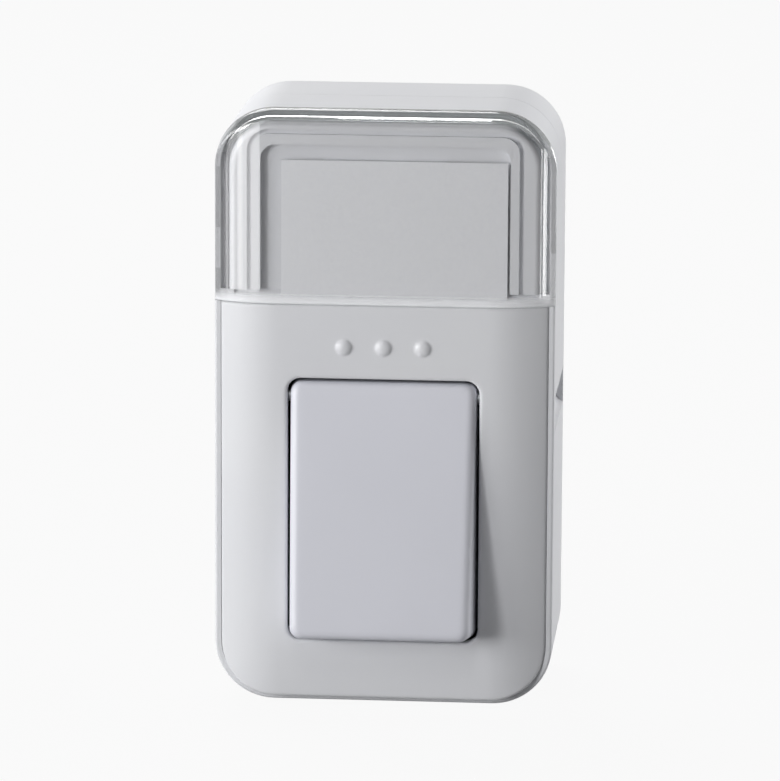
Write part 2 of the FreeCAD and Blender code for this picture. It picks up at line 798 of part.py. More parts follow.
def make_front_housing():
    body = new_body("front_housing")
    pad(body, parting + size("parting_gap"), seam, outline(0))
    inner_x = half_width - rim
    low = -half_height

    def rim_outline(sketch):
        box_path(sketch, [
            (-half_width, split), (-half_width, low, radius), (half_width, low, radius),
            (half_width, split), (inner_x, split), (inner_x, low + rim, radius - rim),
            (-inner_x, low + rim, radius - rim), (-inner_x, split),
        ])

    pad(body, seam, crease_depth, rim_outline)
    deck_rear = size("deck_rear_depth")
    seat = size("cover_seat_depth")
    pocket(body, parting, deck_rear, outline(wall))
    lip_inset = size("lip_inset") - size("shell_gap")
    pocket(body, parting, parting + size("lip_height") + size("shell_gap"), outline(lip_inset))

    # Bed of the opaque front cover, inside the rim
    def cover_bed(sketch):
        box_path(sketch, [
            (-inner_x, split), (-inner_x, low + rim, radius - rim),
            (inner_x, low + rim, radius - rim), (inner_x, split),
        ])

    pocket(body, seat, crease_depth, cover_bed)

    # Channel of the clear cover's skirt, then the label frame that stands inside it
    def channel(sketch):
        top = half_height - rim
        box_path(sketch, [
            (-inner_x, split), (inner_x, split),
            (inner_x, top, radius - rim), (-inner_x, top, radius - rim),
        ])

    channel_floor = size("skirt_channel_depth")
    pocket(body, channel_floor, seam, channel)
    frame_x, frame_top = size("frame_half_width"), size("frame_top")
    frame_low = size("frame_bottom")
    frame_radius = radius - (half_width - frame_x)
    frame_level = size("frame_depth")

    def platform(sketch):
        box_path(sketch, [
            (-frame_x, frame_low), (frame_x, frame_low),
            (frame_x, frame_top, frame_radius), (-frame_x, frame_top, frame_radius),
        ])

    pad(body, channel_floor, frame_level, platform)
    floor_level = size("pocket_floor_depth")

    def line(sketch):
        x, top = size("line_half_width"), size("line_top")
        width, corner = size("frame_line_width"), size("frame_line_radius")
        box_path(sketch, [
            (-x, frame_low), (-x + width, frame_low),
            (-x + width, top - width, corner - width), (x - width, top - width, corner - width),
            (x - width, frame_low), (x, frame_low),
            (x, top, corner), (-x, top, corner),
        ])

    def card_pocket(sketch):
        x, top, corner = size("pocket_half_width"), size("pocket_top"), size("pocket_radius")
        box_path(sketch, [
            (-x, frame_low), (x, frame_low), (x, top, corner), (-x, top, corner),
        ])

    pocket(body, frame_level - size("frame_line_depth"), frame_level, line)
    pocket(body, floor_level, frame_level, card_pocket)

    # Rounded outer edge of the frame
    outer_x, outer_z = frame_x.value, frame_top.value
    dress(body, "Fillet", "Radius", size("frame_edge_radius"), lambda box, e: (
        level(box.YMin, -frame_level.value) and level(box.YMax, -frame_level.value)
        and (level(box.XMax, outer_x) or level(box.XMin, -outer_x) or level(box.ZMax, outer_z))
        and box.ZMax > frame_low.value + 0.5))

    # Sloping sill below the frame with its level ends, and the ribs that carry the label card
    sill_low = size("sill_low")

    def sill(sketch):
        polygon(sketch, [
            (-channel_floor, split), (-size("sill_front_depth"), split),
            (-size("sill_front_depth"), sill_low), (-floor_level, frame_low),
            (-channel_floor, frame_low),
        ])

    sill_x = size("sill_half_width")
    pad(body, -sill_x, sill_x, sill, SIDE)

    def sill_ends(sketch):
        round_box(sketch, sill_x, inner_x, split, frame_low)
        round_box(sketch, -inner_x, -sill_x, split, frame_low)

    pad(body, channel_floor, size("sill_side_depth"), sill_ends)
    rib_low = frame_low + size("card_rib_inset")
    rib_high = card_top() - size("card_rib_width")
    rib_front = floor_level + size("card_rib_height")

    def ribs(sketch):
        for side in (-1, 1):
            x = side * size("card_rib_spacing") / 2
            reach = size("card_rib_width") / 2
            round_box(sketch, x - reach, x + reach, rib_low, rib_high)

    pad(body, floor_level, rib_front, ribs)
    head_x = size("card_rib_spacing") / 2 + size("card_rib_width") / 2
    pad(body, floor_level, rib_front,
        lambda s: round_box(s, -head_x, head_x, rib_high, card_top()))

    # Button well, press stop, screw bosses, snap hooks
    well = size("well_half_width")
    pocket(body, deck_rear, seat,
           lambda s: round_box(s, -well, well, size("well_bottom"), size("well_top")))
    stop_x = size("stop_half_width")
    stop_front, stop_low = size("stop_depth"), size("stop_bottom")
    pad(body, stop_front, deck_rear,
        lambda s: round_box(s, -stop_x, stop_x, stop_low, stop_low + size("stop_web")))
    pad(body, stop_front - size("stop_thickness"), stop_front,
        lambda s: round_box(s, -stop_x, stop_x, stop_low, size("stop_top")))
    pad(body, board_front, deck_rear, circles_at(boss_places, size("boss_radius")))
    pilot = size("screw_radius") + size("screw_gap")
    pilot_end = board_rear + size("screw_length") + 1
    pocket(body, board_front, pilot_end, circles_at(boss_places, pilot))
    pad(body, size("hook_end_depth"), deck_rear, hooks_at(hook_inner, hook_outer, 0))
    pad(body, size("hook_nose_depth"), nose_end, hooks_at(hook_inner, nose_outer, 0))
    pocket(body, deck_rear, seat,
           circles_at(stake_places, size("stake_radius") + size("stake_gap")))

    # Release grooves with the wall kept behind them, and the rounded front rim
    pad(body, parting + size("lip_height") + size("shell_gap"), deck_rear, groove_backings)
    pocket(body, parting, size("groove_front_depth"), groove_tools)
    far_x, far_z = half_width.value, half_height.value
    dress(body, "Fillet", "Radius", size("rim_edge_radius"), lambda box, e: (
        level(box.YMin, -crease_depth.value) and level(box.YMax, -crease_depth.value)
        and (level(box.XMax, far_x) or level(box.XMin, -far_x) or level(box.ZMin, -far_z))
        and box.ZLength + box.XLength > 2 * SIZES["rim_width"]))
    return body


# Opaque front cover with the rolled sides, the button opening and three raised dots

def roll_sides(sketch, outer_x):
    """Waste outside the rolled front surface, on both sides of the plan view."""
    for side in (-1, 1):
        centre = (side * flat_x, -face + roll_radius)
        reach = (Length.of(outer_x) - flat_x).value
        end_y = centre[1].value - math.sqrt(roll_radius.value ** 2 - reach ** 2)
        start = V(side * flat_x.value, -face.value, 0)
        end = V(side * Length.of(outer_x).value, end_y, 0)
        bow = math.asin(reach / roll_radius.value) / 2
        middle = V(
            centre[0].value + side * roll_radius.value * math.sin(bow),
            centre[1].value - roll_radius.value * math.cos(bow), 0)
        arc = sketch.addGeometry(Part.Arc(start, middle, end), False)
        first, last = (1, 2) if side > 0 else (2, 1)
        clear_y = -face - 1
        far = V(end.x, clear_y.value, 0)
        near = V(start.x, clear_y.value, 0)
        up = sketch.addGeometry(Part.LineSegment(end, far), False)
        across = sketch.addGeometry(Part.LineSegment(far, near), False)
        down = sketch.addGeometry(Part.LineSegment(near, start), False)
        sketch.addConstraint(Sketcher.Constraint("Coincident", arc, last, up, 1))
        sketch.addConstraint(Sketcher.Constraint("Coincident", up, 2, across, 1))
        sketch.addConstraint(Sketcher.Constraint("Coincident", across, 2, down, 1))
        sketch.addConstraint(Sketcher.Constraint("Coincident", down, 2, arc, first))
        fix_point(sketch, arc, 3, centre[0], centre[1])
        fix_radius(sketch, arc, roll_radius)
        fix_point(sketch, down, 2, centre[0], None)
        fix_point(sketch, up, 1, side * Length.of(outer_x), None)
        fix_point(sketch, up, 2, side * Length.of(outer_x), clear_y)
        fix_point(sketch, across, 2, centre[0], clear_y)


def make_front_cover():
    body = new_body("front_cover")
    seat = size("cover_seat_depth")
    x = crease_x - gap
    low = -half_height + rim + gap
    corner = radius - rim - gap
    top = split - gap

    def plate(sketch):
        box_path(sketch, [(-x, top), (-x, low, corner), (x, low, corner), (x, top)])

    pad(body, seat, face, plate)
    cut_back = pocket(body, -half_height - 1, half_height, lambda s: roll_sides(s, half_width + 1),
                      PLAN)
    well = size("well_half_width")
    thin_rear = face - size("cover_plate")
    pocket(body, seat, thin_rear,
           lambda s: round_box(s, -well, well, size("well_bottom"), size("well_top")))
    open_x = size("opening_half_width")
    pocket(body, thin_rear, face, lambda s: round_box(
        s, -open_x, open_x, size("opening_bottom"), size("opening_top"), size("opening_radius")))

    across, low_end, top_end = open_x.value, size("opening_bottom").value, size("opening_top").value
    dress(body, "Fillet", "Radius", size("opening_edge_radius"), lambda box, e: (
        level(box.YMin, -face.value) and level(box.YMax, -face.value)
        and abs(box.XMin) < across + 0.01 and abs(box.XMax) < across + 0.01
        and box.ZMin > low_end - 0.01 and box.ZMax < top_end + 0.01))

    # Hinge lugs on both sides of the opening
    eye = size("hinge_eye_radius")
    bore = size("pin_radius") + size("pin_seat_gap")
    lug_inner = open_x + size("hinge_side_gap")
    lug_outer = lug_inner + size("hinge_lug_width")

    def lug(sketch):
        box_path(sketch, [
            (-hinge_d + eye, hinge_z - eye, eye * 0.95), (-hinge_d + eye, hinge_z + eye, eye * 0.95),
            (-thin_rear, hinge_z + eye), (-thin_rear, hinge_z - eye),
        ])
        circle(sketch, -hinge_d, hinge_z, bore)

    right_lug = pad(body, lug_inner, lug_outer, lug, SIDE)
    mirrored(body, [right_lug])

    # Heat stakes that hold the cover on the deck
    deck_rear = size("deck_rear_depth")
    pad(body, deck_rear, seat, circles_at(stake_places, size("stake_radius")))
    pad(body, deck_rear - size("stake_head_height"), deck_rear,
        circles_at(stake_places, size("stake_head_radius")))

    # Rounded top and bottom edges of the front face
    low_z, high_z = low.value, top.value
    dress(body, "Fillet", "Radius", size("cover_edge_radius"), lambda box, e: (
        box.YMax < -crease_depth.value + 0.01
        and (level(box.ZMin, high_z) or level(box.ZMin, low_z))
        and box.ZLength < 0.01 and level(box.YMin, -face.value) and box.XLength > 1))

    # Three raised dots in a row
    doc.recompute()
    dot = body.newObject("PartDesign::AdditiveSphere", "Dot")
    bind(dot, "Radius", size("dot_radius"))
    bind(dot, "Placement.Base.x", -size("dot_pitch"))
    bind(dot, "Placement.Base.y", -(face - size("dot_sink")))
    bind(dot, "Placement.Base.z", size("dot_height"))
    doc.recompute()
    dots = body.newObject("PartDesign::LinearPattern", "Dots")
    dots.Originals = [dot]
    across = [f for f in body.Origin.OriginFeatures if f.Role == "X_Axis"][0]
    dots.Direction = (across, [""])
    bind(dots, "Length", size("dot_pitch") * 2)
    dots.Occurrences = 3
    body.Tip = dots
    return body


# Clear cover over the label, flush with the front cover

def make_clear_cover():
    low = split
    inner_gap = size("clear_skirt_gap")
    lip_outer = crease_x - inner_gap
    lip_inner = lip_outer - size("clear_lip")
    lip_top = half_height - rim - inner_gap
    cavity_x = half_width - size("clear_wall")
    cavity_top = half_height - size("clear_wall")
    plate = size("clear_plate")

    def full(sketch):
        box_path(sketch, [
            (-half_width, low), (half_width, low),
            (half_width, half_height, radius), (-half_width, half_height, radius),
        ])

    block_of = prism("ClearBlock", FRONT, seam, face, full)
    waste = prism("ClearSideWaste", PLAN, low - 1, half_height + 1,
                  lambda s: roll_sides(s, half_width + 1))
    rolled = cut("ClearRolled", block_of, waste)

    # The top front edge is a quarter round
    def top_profile(sketch):
        far = half_height
        round_at = size("clear_top_radius")
        box_path(sketch, [
            (-seam, low - 1), (-seam, far), (-face, far, round_at), (-face, low - 1),
        ])

    rounded = common("ClearRounded", [
        rolled, prism("ClearTopProfile", SIDE, -half_width - 1, half_width + 1, top_profile)])

    # The hollow follows the outside at the plate's thickness
    cavity_radius = radius - size("clear_wall")

    def cavity_front(sketch):
        box_path(sketch, [
            (-cavity_x, low - 1), (cavity_x, low - 1),
            (cavity_x, cavity_top, cavity_radius), (-cavity_x, cavity_top, cavity_radius),
        ])

    hollow_block = prism("ClearHollowBlock", FRONT, seam - 1, face - plate, cavity_front)
    inner_waste = prism("ClearInnerWaste", PLAN, low - 2, half_height + 1, inner_roll)
    hollow = cut("ClearHollow", hollow_block, inner_waste)
    shell = cut("ClearShell", rounded, hollow)

    # Lip on three sides that plunges into the housing's channel
    lip_end = size("skirt_channel_depth") + inner_gap
    lip_low = size("frame_bottom") + inner_gap
    outer_radius = radius - (half_width - lip_outer)
    inner_radius = outer_radius - size("clear_lip")
    lip_ceiling = lip_top - size("clear_lip")

    def lip(sketch):
        box_path(sketch, [
            (-lip_outer, lip_low), (-lip_inner, lip_low),
            (-lip_inner, lip_ceiling, inner_radius), (lip_inner, lip_ceiling, inner_radius),
            (lip_inner, lip_low), (lip_outer, lip_low),
            (lip_outer, lip_top, outer_radius), (-lip_outer, lip_top, outer_radius),
        ])

    return node("clear_cover", joined("ClearCover", [
        shell, prism("ClearLip", FRONT, lip_end, seam + size("clear_lip_root"), lip)]))


def inner_roll(sketch):
    """Waste outside the clear cover's inner surface, a plate thickness behind the outer one."""
    plate = size("clear_plate")
    inner_radius = roll_radius - plate
    outer_x = half_width + 1
    for side in (-1, 1):
        centre = (side * flat_x, -face + roll_radius)
        reach = (outer_x - flat_x).value
        start = V(side * flat_x.value, -(face - plate).value, 0)
        end_y = centre[1].value - math.sqrt(inner_radius.value ** 2 - reach ** 2)
        end = V(side * outer_x.value, end_y, 0)
        bow = math.asin(reach / inner_radius.value) / 2
        middle = V(
            centre[0].value + side * inner_radius.value * math.sin(bow),
            centre[1].value - inner_radius.value * math.cos(bow), 0)
        arc = sketch.addGeometry(Part.Arc(start, middle, end), False)
        first, last = (1, 2) if side > 0 else (2, 1)
        clear_y = -face - 1
        far, near = V(end.x, clear_y.value, 0), V(start.x, clear_y.value, 0)
        up = sketch.addGeometry(Part.LineSegment(end, far), False)
        across = sketch.addGeometry(Part.LineSegment(far, near), False)
        down = sketch.addGeometry(Part.LineSegment(near, start), False)
        sketch.addConstraint(Sketcher.Constraint("Coincident", arc, last, up, 1))
        sketch.addConstraint(Sketcher.Constraint("Coincident", up, 2, across, 1))
        sketch.addConstraint(Sketcher.Constraint("Coincident", across, 2, down, 1))
        sketch.addConstraint(Sketcher.Constraint("Coincident", down, 2, arc, first))
        fix_point(sketch, arc, 3, centre[0], centre[1])
        fix_radius(sketch, arc, inner_radius)
        fix_point(sketch, down, 2, centre[0], None)
        fix_point(sketch, up, 1, side * outer_x, None)
        fix_point(sketch, up, 2, side * outer_x, clear_y)
        fix_point(sketch, across, 2, centre[0], clear_y)


def make_label_card():
    rear = size("pocket_floor_depth") + size("card_rib_height") + size("card_rib_gap")
    inner_x = size("pocket_half_width")
    return node("label_card", block(
        "LabelCard", -inner_x + size("card_play"), inner_x - size("card_edge_gap"),
        rear, rear + size("card_thickness"), size("card_low"), card_top()))


def card_top():
    """Height of the label card's upper edge."""
    return size("pocket_top") - size("card_head_gap")


# Wedge button: a hollow cap hinged at its top edge, standing out at its lower end

def make_push_button():
    body = new_body("push_button")
    half = size("opening_half_width") - size("button_gap")
    top = size("opening_top") - size("button_gap")
    low = size("button_bottom")
    tip = size("button_tip_depth")
    rear = size("button_rear_depth")
    slope = (tip - face) / (top - low)
    low_rear = low - (tip - rear) * slope

    def wedge(sketch):
        polygon(sketch, [(-face, top), (-tip, low), (-rear, low_rear), (-rear, top)])

    # Side walls that lean in towards the front
    lean = size("button_side_slope")
    rear_half = half + (face - rear) * lean
    front = tip + 1
    front_half = half - (front - face) * lean
    pad(body, -rear_half, rear_half, wedge, SIDE)

    def leaning_sides(sketch):
        for side in (-1, 1):
            polygon(sketch, [
                (rear_half * side, -rear), (front_half * side, -front),
                ((rear_half + 1) * side, -front), ((rear_half + 1) * side, -rear),
            ])

    pocket(body, low_rear - 1, top + 1, leaning_sides, PLAN)
    corner_z = (top.value, low_rear.value)
    corner_x = front_half.value
    dress(body, "Fillet", "Radius", size("button_corner_radius"), lambda box, e: (
        box.XLength < 1 and max(abs(box.XMax), abs(box.XMin)) > corner_x and box.YLength > 1
        and (level(box.ZMax, corner_z[0]) and box.ZLength < 0.01
             or level(box.ZMin, corner_z[1]))))
    front_ends = (-face.value, -tip.value)
    dress(body, "Fillet", "Radius", size("button_edge_radius"), lambda box, e: (
        box.YMin < front_ends[0] + 0.01 and box.YMax < front_ends[0] + 1.6
        and not (box.XLength < 1 and box.ZLength < 3)))

    # Hollow behind the front plate
    thick = size("button_wall")
    plate = size("button_plate")
    inner_top = top - thick
    inner_low = low + thick
    inner_front_top = face + (top - inner_top) * slope - plate
    inner_front_low = face + (top - inner_low) * slope - plate

    def hollow(sketch):
        polygon(sketch, [
            (-inner_front_top, inner_top), (-inner_front_low, inner_low),
            (-rear + 1, inner_low - (inner_front_low - rear + 1) * slope),
            (-rear + 1, inner_top),
        ])

    pocket(body, -half + thick, half - thick, hollow, SIDE)

    # Hinge ears with their bore
    eye = size("hinge_eye_radius")
    bore = size("pin_radius") + size("pin_running_gap")
    ear_inner = half - size("hinge_ear_width")

    def ear(sketch):
        box_path(sketch, [
            (-hinge_d + eye, hinge_z - eye, eye * 0.95), (-hinge_d + eye, hinge_z + eye, eye * 0.95),
            (-face + plate, hinge_z + eye), (-face + plate, hinge_z - eye),
        ])

    right_ear = pad(body, ear_inner, half - size("hinge_ear_inset"), ear, SIDE)
    mirrored(body, [right_ear])
    pocket(body, -half - 1, half + 1, lambda s: circle(s, -hinge_d, hinge_z, bore), SIDE)

    # Foot that presses the generator's blade
    foot_z = size("foot_height")
    foot_half = size("foot_thickness") / 2
    foot_front = face + (top - foot_z) * slope - plate / 2
    foot_rear = blade_depth_at(foot_z) + size("blade_thickness") + size("blade_clearance")
    width = size("foot_half_width")
    pad(body, foot_rear, foot_front,
        lambda s: round_box(s, -width, width, foot_z - foot_half, foot_z + foot_half))

    # Posts inside the return springs, and the catches behind the front cover
    spring_z = size("spring_height")
    post_front = face + (top - spring_z) * slope - plate / 2
    post_rear = spring_front(slope, top, plate) - size("spring_post_length")
    posts = [(side * size("spring_offset"), spring_z) for side in (-1, 1)]
    pad(body, post_rear, post_front, circles_at(posts, size("spring_post_radius")))
    catch_front = face - size("cover_plate") - size("catch_gap")

    def catches(sketch):
        a, b = size("catch_inner"), size("catch_outer")
        z0, z1 = low_rear - size("catch_drop"), low_rear + thick
        round_box(sketch, a, b, z0, z1)
        round_box(sketch, -b, -a, z0, z1)

    pad(body, catch_front - size("catch_thickness"), catch_front, catches)
    return body


def button_slope():
    top = size("opening_top") - size("button_gap")
    return (size("button_tip_depth") - face) / (top - size("button_bottom"))


def spring_front(slope, top, plate):
    """Depth of the button's inner face behind which a return spring ends."""
    return face + (top - size("spring_height") - size("spring_radius")) * slope - plate


def make_hinge_pin():
    reach = size("pin_half_length")
    return node("hinge_pin", rod(
        "HingePin", size("pin_radius"), reach * 2, -reach, hinge_d, hinge_z, "X"))


# Wound parts: one unbroken round wire along quarter turns of a helix

def helix_points(count, radius, start, end, phase):
    """Points of a helix about the local Z axis, eight to a turn."""
    steps = int(round(count * 8))
    points = []
    for i in range(steps + 1):
        angle = phase + 2 * math.pi * i / 8
        points.append(V(radius * math.cos(angle), radius * math.sin(angle),
                        start + (end - start) * i / steps))
    return points


def wound_wire(points, wire):
    """Round wire through the points, each arc spanning a quarter turn."""
    arcs = [
        Part.Arc(points[i], points[i + 1], points[i + 2]).toShape()
        for i in range(0, len(points) - 2, 2)
    ]
    path = Part.Wire(arcs)
    tangent = arcs[0].tangentAt(arcs[0].FirstParameter)
    ring = Part.Wire(Part.Circle(points[0], tangent, wire / 2).toShape())
    return path.makePipeShell([ring], True, False)


def least_gap(points, wire, turn_steps):
    """Smallest distance between the wire's surfaces on neighbouring turns."""
    best = 1e9
    for i, a in enumerate(points):
        for b in points[i + turn_steps // 2 + 1:]:
            best = min(best, a.distanceToPoint(b) - wire)
    return best


def make_return_spring(name, side):
    wire = SIZES["spring_wire"]
    mean = SIZES["spring_radius"] - wire / 2
    top = size("opening_top") - size("button_gap")
    far = spring_front(button_slope(), top, size("button_plate")).value
    seat = (wing_depth() + size("wing_thickness")).value
    clear = SIZES["spring_seat_gap"] + wire / 2
    points = helix_points(SIZES["spring_turns"], mean, seat + clear, far - clear, 0.0)
    print(name, "least gap between turns", round(least_gap(points, wire, 8), 3))
    feature = doc.addObject("Part::Feature", name.title().replace("_", ""))
    feature.Shape = wound_wire(points, wire)
    feature.Placement = FreeCAD.Placement(
        V(side * size("spring_offset").value, 0, size("spring_height").value),
        FreeCAD.Rotation(V(1, 0, 0), 90))
    return node(name, feature)


def make_antenna_coil():
    wire = SIZES["antenna_wire"]
    mean = SIZES["antenna_radius"] - wire / 2
    reach = SIZES["antenna_half_length"]
    points = helix_points(SIZES["antenna_turns"], mean, -reach, reach, 0.0)
    print("antenna_coil least gap between turns", round(least_gap(points, wire, 8), 3))
    feature = doc.addObject("Part::Feature", "AntennaCoil")
    feature.Shape = wound_wire(points, wire)
    depth = board_front.value + SIZES["antenna_radius"] + SIZES["antenna_lift"]
    feature.Placement = FreeCAD.Placement(
        V(0, -depth, size("antenna_height").value), FreeCAD.Rotation(V(0, 1, 0), 90))
    return node("antenna_coil", feature)


# Circuit board with its screws and the parts soldered to it

def make_circuit_board():
    body = new_body("circuit_board")
    x, z = size("board_half_width"), size("board_half_height")
    pad(body, board_rear, board_front,
        lambda s: round_box(s, -x, x, -z, z, size("board_corner_radius")))
    hole = size("screw_radius") + size("screw_gap") * 3
    pocket(body, board_rear, board_front, circles_at(boss_places, hole))
    pocket(body, board_rear, board_front,
           circles_at(terminal_places(), size("terminal_radius") + size("screw_gap") * 2))
    return body


def make_board_screws():
    screws = []
    for i, (x, z) in enumerate(boss_places):
        tag = str(i + 1)
        shank = rod("ScrewShank" + tag, size("screw_radius"), size("screw_length"),
                    x, board_rear + size("screw_length"), z, "Y")
        head = rod("ScrewHead" + tag, size("screw_head_radius"), size("screw_head_height"),
                   x, board_rear, z, "Y")
        screws.append(joined("Screw" + tag, [shank, head]))
    group = doc.addObject("Part::Compound", "BoardScrews")
    group.Links = screws
    return node("board_screws", group)


def terminal_places():
    z = size("bobbin_low") + size("bobbin_flange") / 2
    return [(side * size("terminal_offset"), z) for side in (-1, 1)]


def make_board_parts():
    made = []
    half = size("chip_side") / 2
    z = size("chip_centre_height")
    made.append(node("radio_chip", block(
        "RadioChip", -half, half, board_front, board_front + size("chip_height"),
        z - half, z + half)))
    x = size("crystal_offset")
    made.append(node("timing_crystal", block(
        "TimingCrystal", x, x + size("crystal_width"), board_front,
        board_front + size("crystal_depth"), z - size("crystal_height") / 2,
        z + size("crystal_height") / 2)))
    length = size("capacitor_length")
    made.append(node("storage_capacitor", rod(
        "StorageCapacitor", size("capacitor_radius"), length, size("capacitor_offset"),
        board_front + length, size("capacitor_height"), "Y")))
    x, z = size("rectifier_offset"), size("rectifier_low")
    made.append(node("rectifier_bridge", block(
        "RectifierBridge", x, x + size("rectifier_width"), board_front,
        board_front + size("rectifier_depth"), z, z + size("rectifier_height"))))
    return made


# Press generator

core_rear = size("core_depth")
core_front = core_rear + size("core_thickness")
pole_rear_face = core_rear - size("pole_gap_rear")
pole_front_face = core_front + size("pole_gap_front")
rocker_axis = (pole_rear_face + pole_front_face) / 2


def wing_depth():
    return core_front + size("cradle_gap")


def blade_depth_at(z):
    """Depth of the blade's rear face at a height, on its straight sloping part."""
    foot = pole_front_face + size("pole_thickness")
    down = size("blade_foot_low") - z
    return foot + down / size("blade_length") * size("blade_lift")


def make_iron_core():
    body = new_body("iron_core")
    x, leg = size("core_half_width"), size("core_leg")
    mid = size("core_middle") / 2
    low, bar, tip = size("core_bar_low"), size("core_bar_high"), size("core_tip")

    def three_legs(sketch):
        box_path(sketch, [
            (-x, low), (x, low), (x, tip), (x - leg, tip), (x - leg, bar), (mid, bar),
            (mid, tip), (-mid, tip), (-mid, bar), (-x + leg, bar), (-x + leg, tip), (-x, tip),
        ])

    pad(body, core_rear, core_front, three_legs)
    return body


def make_coil():
    g, w = size("bobbin_gap"), size("bobbin_wall")
    low, high, flange = size("bobbin_low"), size("bobbin_high"), size("bobbin_flange")
    hole_x = size("core_middle") / 2 + g
    hole_d0, hole_d1 = core_rear - g, core_front + g
    tube_x, tube_d0, tube_d1 = hole_x + w, hole_d0 - w, hole_d1 + w
    centre = (core_rear + core_front) / 2
    flange_x, reach = size("bobbin_half_width"), size("bobbin_half_depth")
    d0, d1 = centre - reach, centre + reach
    spool = joined("BobbinSpool", [
        block("BobbinTube", -tube_x, tube_x, tube_d0, tube_d1, low, high),
        block("BobbinLowFlange", -flange_x, flange_x, d0, d1, low, low + flange),
        block("BobbinHighFlange", -flange_x, flange_x, d0, d1, high - flange, high),
    ])
    node("coil_bobbin", cut("CoilBobbin", spool, block(
        "BobbinHole", -hole_x, hole_x, hole_d0, hole_d1, low - 1, high + 1)))
    body = new_body("coil_winding")
    step = size("winding_step")
    x, y0, y1 = flange_x - step, d0 + step, d1 - step

    def turns(sketch):
        round_box(sketch, -x, x, -y1, -y0, size("winding_radius"))
        round_box(sketch, -tube_x, tube_x, -tube_d1, -tube_d0)

    pad(body, low + flange, high - flange, turns, PLAN)
    pins = []
    for i, (x, z) in enumerate(terminal_places()):
        end = size("terminal_end_depth")
        pins.append(rod("Terminal" + str(i + 1), size("terminal_radius"), d0 - end, x, d0, z, "Y"))
    group = doc.addObject("Part::Compound", "CoilTerminals")
    group.Links = pins
    node("coil_terminals", group)


def make_rocker():
    """Magnet between two pole plates on a rocking block, with the blade that drives it."""
    x, low, high = size("pole_half_width"), size("pole_low"), size("pole_high")
    t = size("pole_thickness")
    node("rear_pole_plate", block(
        "RearPolePlate", -x, x, pole_rear_face - t, pole_rear_face, low, high))
    node("front_pole_plate", block(
        "FrontPolePlate", -x, x, pole_front_face, pole_front_face + t, low, high))
    m = size("magnet_half_width")
    node("magnet_block", block(
        "MagnetBlock", -m, m, pole_rear_face, pole_front_face,
        size("magnet_low"), size("rocker_low")))
    r = size("rocker_half_width")
    pin_z = size("rocker_pin_height")
    bore = size("rocker_pin_radius") + size("pin_running_gap")
    body = new_body("rocker_block")
    pad(body, pole_rear_face, pole_front_face,
        lambda s: round_box(s, -r, r, size("rocker_low"), size("rocker_high")))
    pocket(body, -r - 1, r + 1, lambda s: circle(s, -rocker_axis, pin_z, bore), SIDE)
    reach = size("rocker_pin_half_length")
    node("rocker_pin", rod(
        "RockerPin", size("rocker_pin_radius"), reach * 2, -reach, rocker_axis, pin_z, "X"))
    blade = new_body("drive_spring")
    b = size("blade_half_width")
    thin = size("blade_thickness")
    foot = pole_front_face + t
    bend, tip = size("blade_foot_low"), size("blade_tip")
    far = foot + size("blade_lift")

    def blade_side(sketch):
        polygon(sketch, [
            (-foot, high), (-foot, bend), (-far, tip), (-far - thin, tip),
            (-foot - thin, bend + thin / 2), (-foot - thin, high),
        ])

    pad(blade, -b, b, blade_side, SIDE)


def make_generator_cradle():
    """Plastic cradle on the circuit board that holds the core, the coil and the rocker's pin."""
    body = new_body("generator_cradle")
    x, low, high = size("cradle_half_width"), size("cradle_low"), size("cradle_high")
    base_front = board_front + size("cradle_base")
    g = size("cradle_gap")
    pad(body, board_front, base_front, lambda s: round_box(s, -x, x, low, high))
    window_x = size("bobbin_half_width") + g
    pocket(body, board_front, base_front, lambda s: round_box(
        s, -window_x, window_x, size("bobbin_low") - g, size("bobbin_high") + g))

    # Rails under the outer legs and a rest under the core's bar
    leg_inner = size("core_half_width") - size("core_leg")

    def rests(sketch):
        round_box(sketch, leg_inner, size("core_half_width"), size("core_bar_high"),
                  size("pole_low") - g)
        round_box(sketch, -size("core_half_width"), -leg_inner, size("core_bar_high"),
                  size("pole_low") - g)
        round_box(sketch, -x, x, low, size("core_bar_high"))

    pad(body, base_front, core_rear, rests)

    # Bridges over the outer legs that seat the return springs
    bridge = wing_depth()
    w0, w1 = size("wing_low"), size("wing_high")
    post = size("core_half_width") + g / 2

    def posts(sketch):
        round_box(sketch, post, x, w0, w1)
        round_box(sketch, -x, -post, w0, w1)

    def seats(sketch):
        round_box(sketch, size("wing_inner"), x, w0, w1)
        round_box(sketch, -x, -size("wing_inner"), w0, w1)

    pad(body, base_front, bridge, posts)
    pad(body, bridge, bridge + size("wing_thickness"), seats)

    # Cheeks with the bores of the rocker's pin
    inner = size("cheek_inner")

    def cheeks(sketch):
        round_box(sketch, inner, x, size("cheek_low"), size("cheek_high"))
        round_box(sketch, -x, -inner, size("cheek_low"), size("cheek_high"))

    pad(body, base_front, size("cheek_front_depth"), cheeks)
    bore = size("rocker_pin_radius") + size("pin_seat_gap")
    pin_z = size("rocker_pin_height")
    pocket(body, -x - 1, x + 1, lambda s: circle(s, -rocker_axis, pin_z, bore), SIDE)
    return body


make_wall_shell()
make_adhesive_pad()
make_front_housing()
make_front_cover()
make_clear_cover()
make_label_card()
make_push_button()
make_hinge_pin()
make_return_spring("return_spring_left", -1)
make_return_spring("return_spring_right", 1)
make_circuit_board()
make_board_screws()
make_board_parts()
make_antenna_coil()
make_iron_core()
make_coil()
make_rocker()
make_generator_cradle()
doc.recompute()

failed = [o.Name + " " + str(o.State) for o in doc.Objects
          if "Invalid" in o.State or "Error" in o.State]
if failed:
    raise RuntimeError("objects that did not build: " + ", ".join(failed))
for part in NODES:
    if part.Shape.isNull() or not part.Shape.isValid() or not part.Shape.Solids:
        raise RuntimeError("no valid solid in " + part.Label)

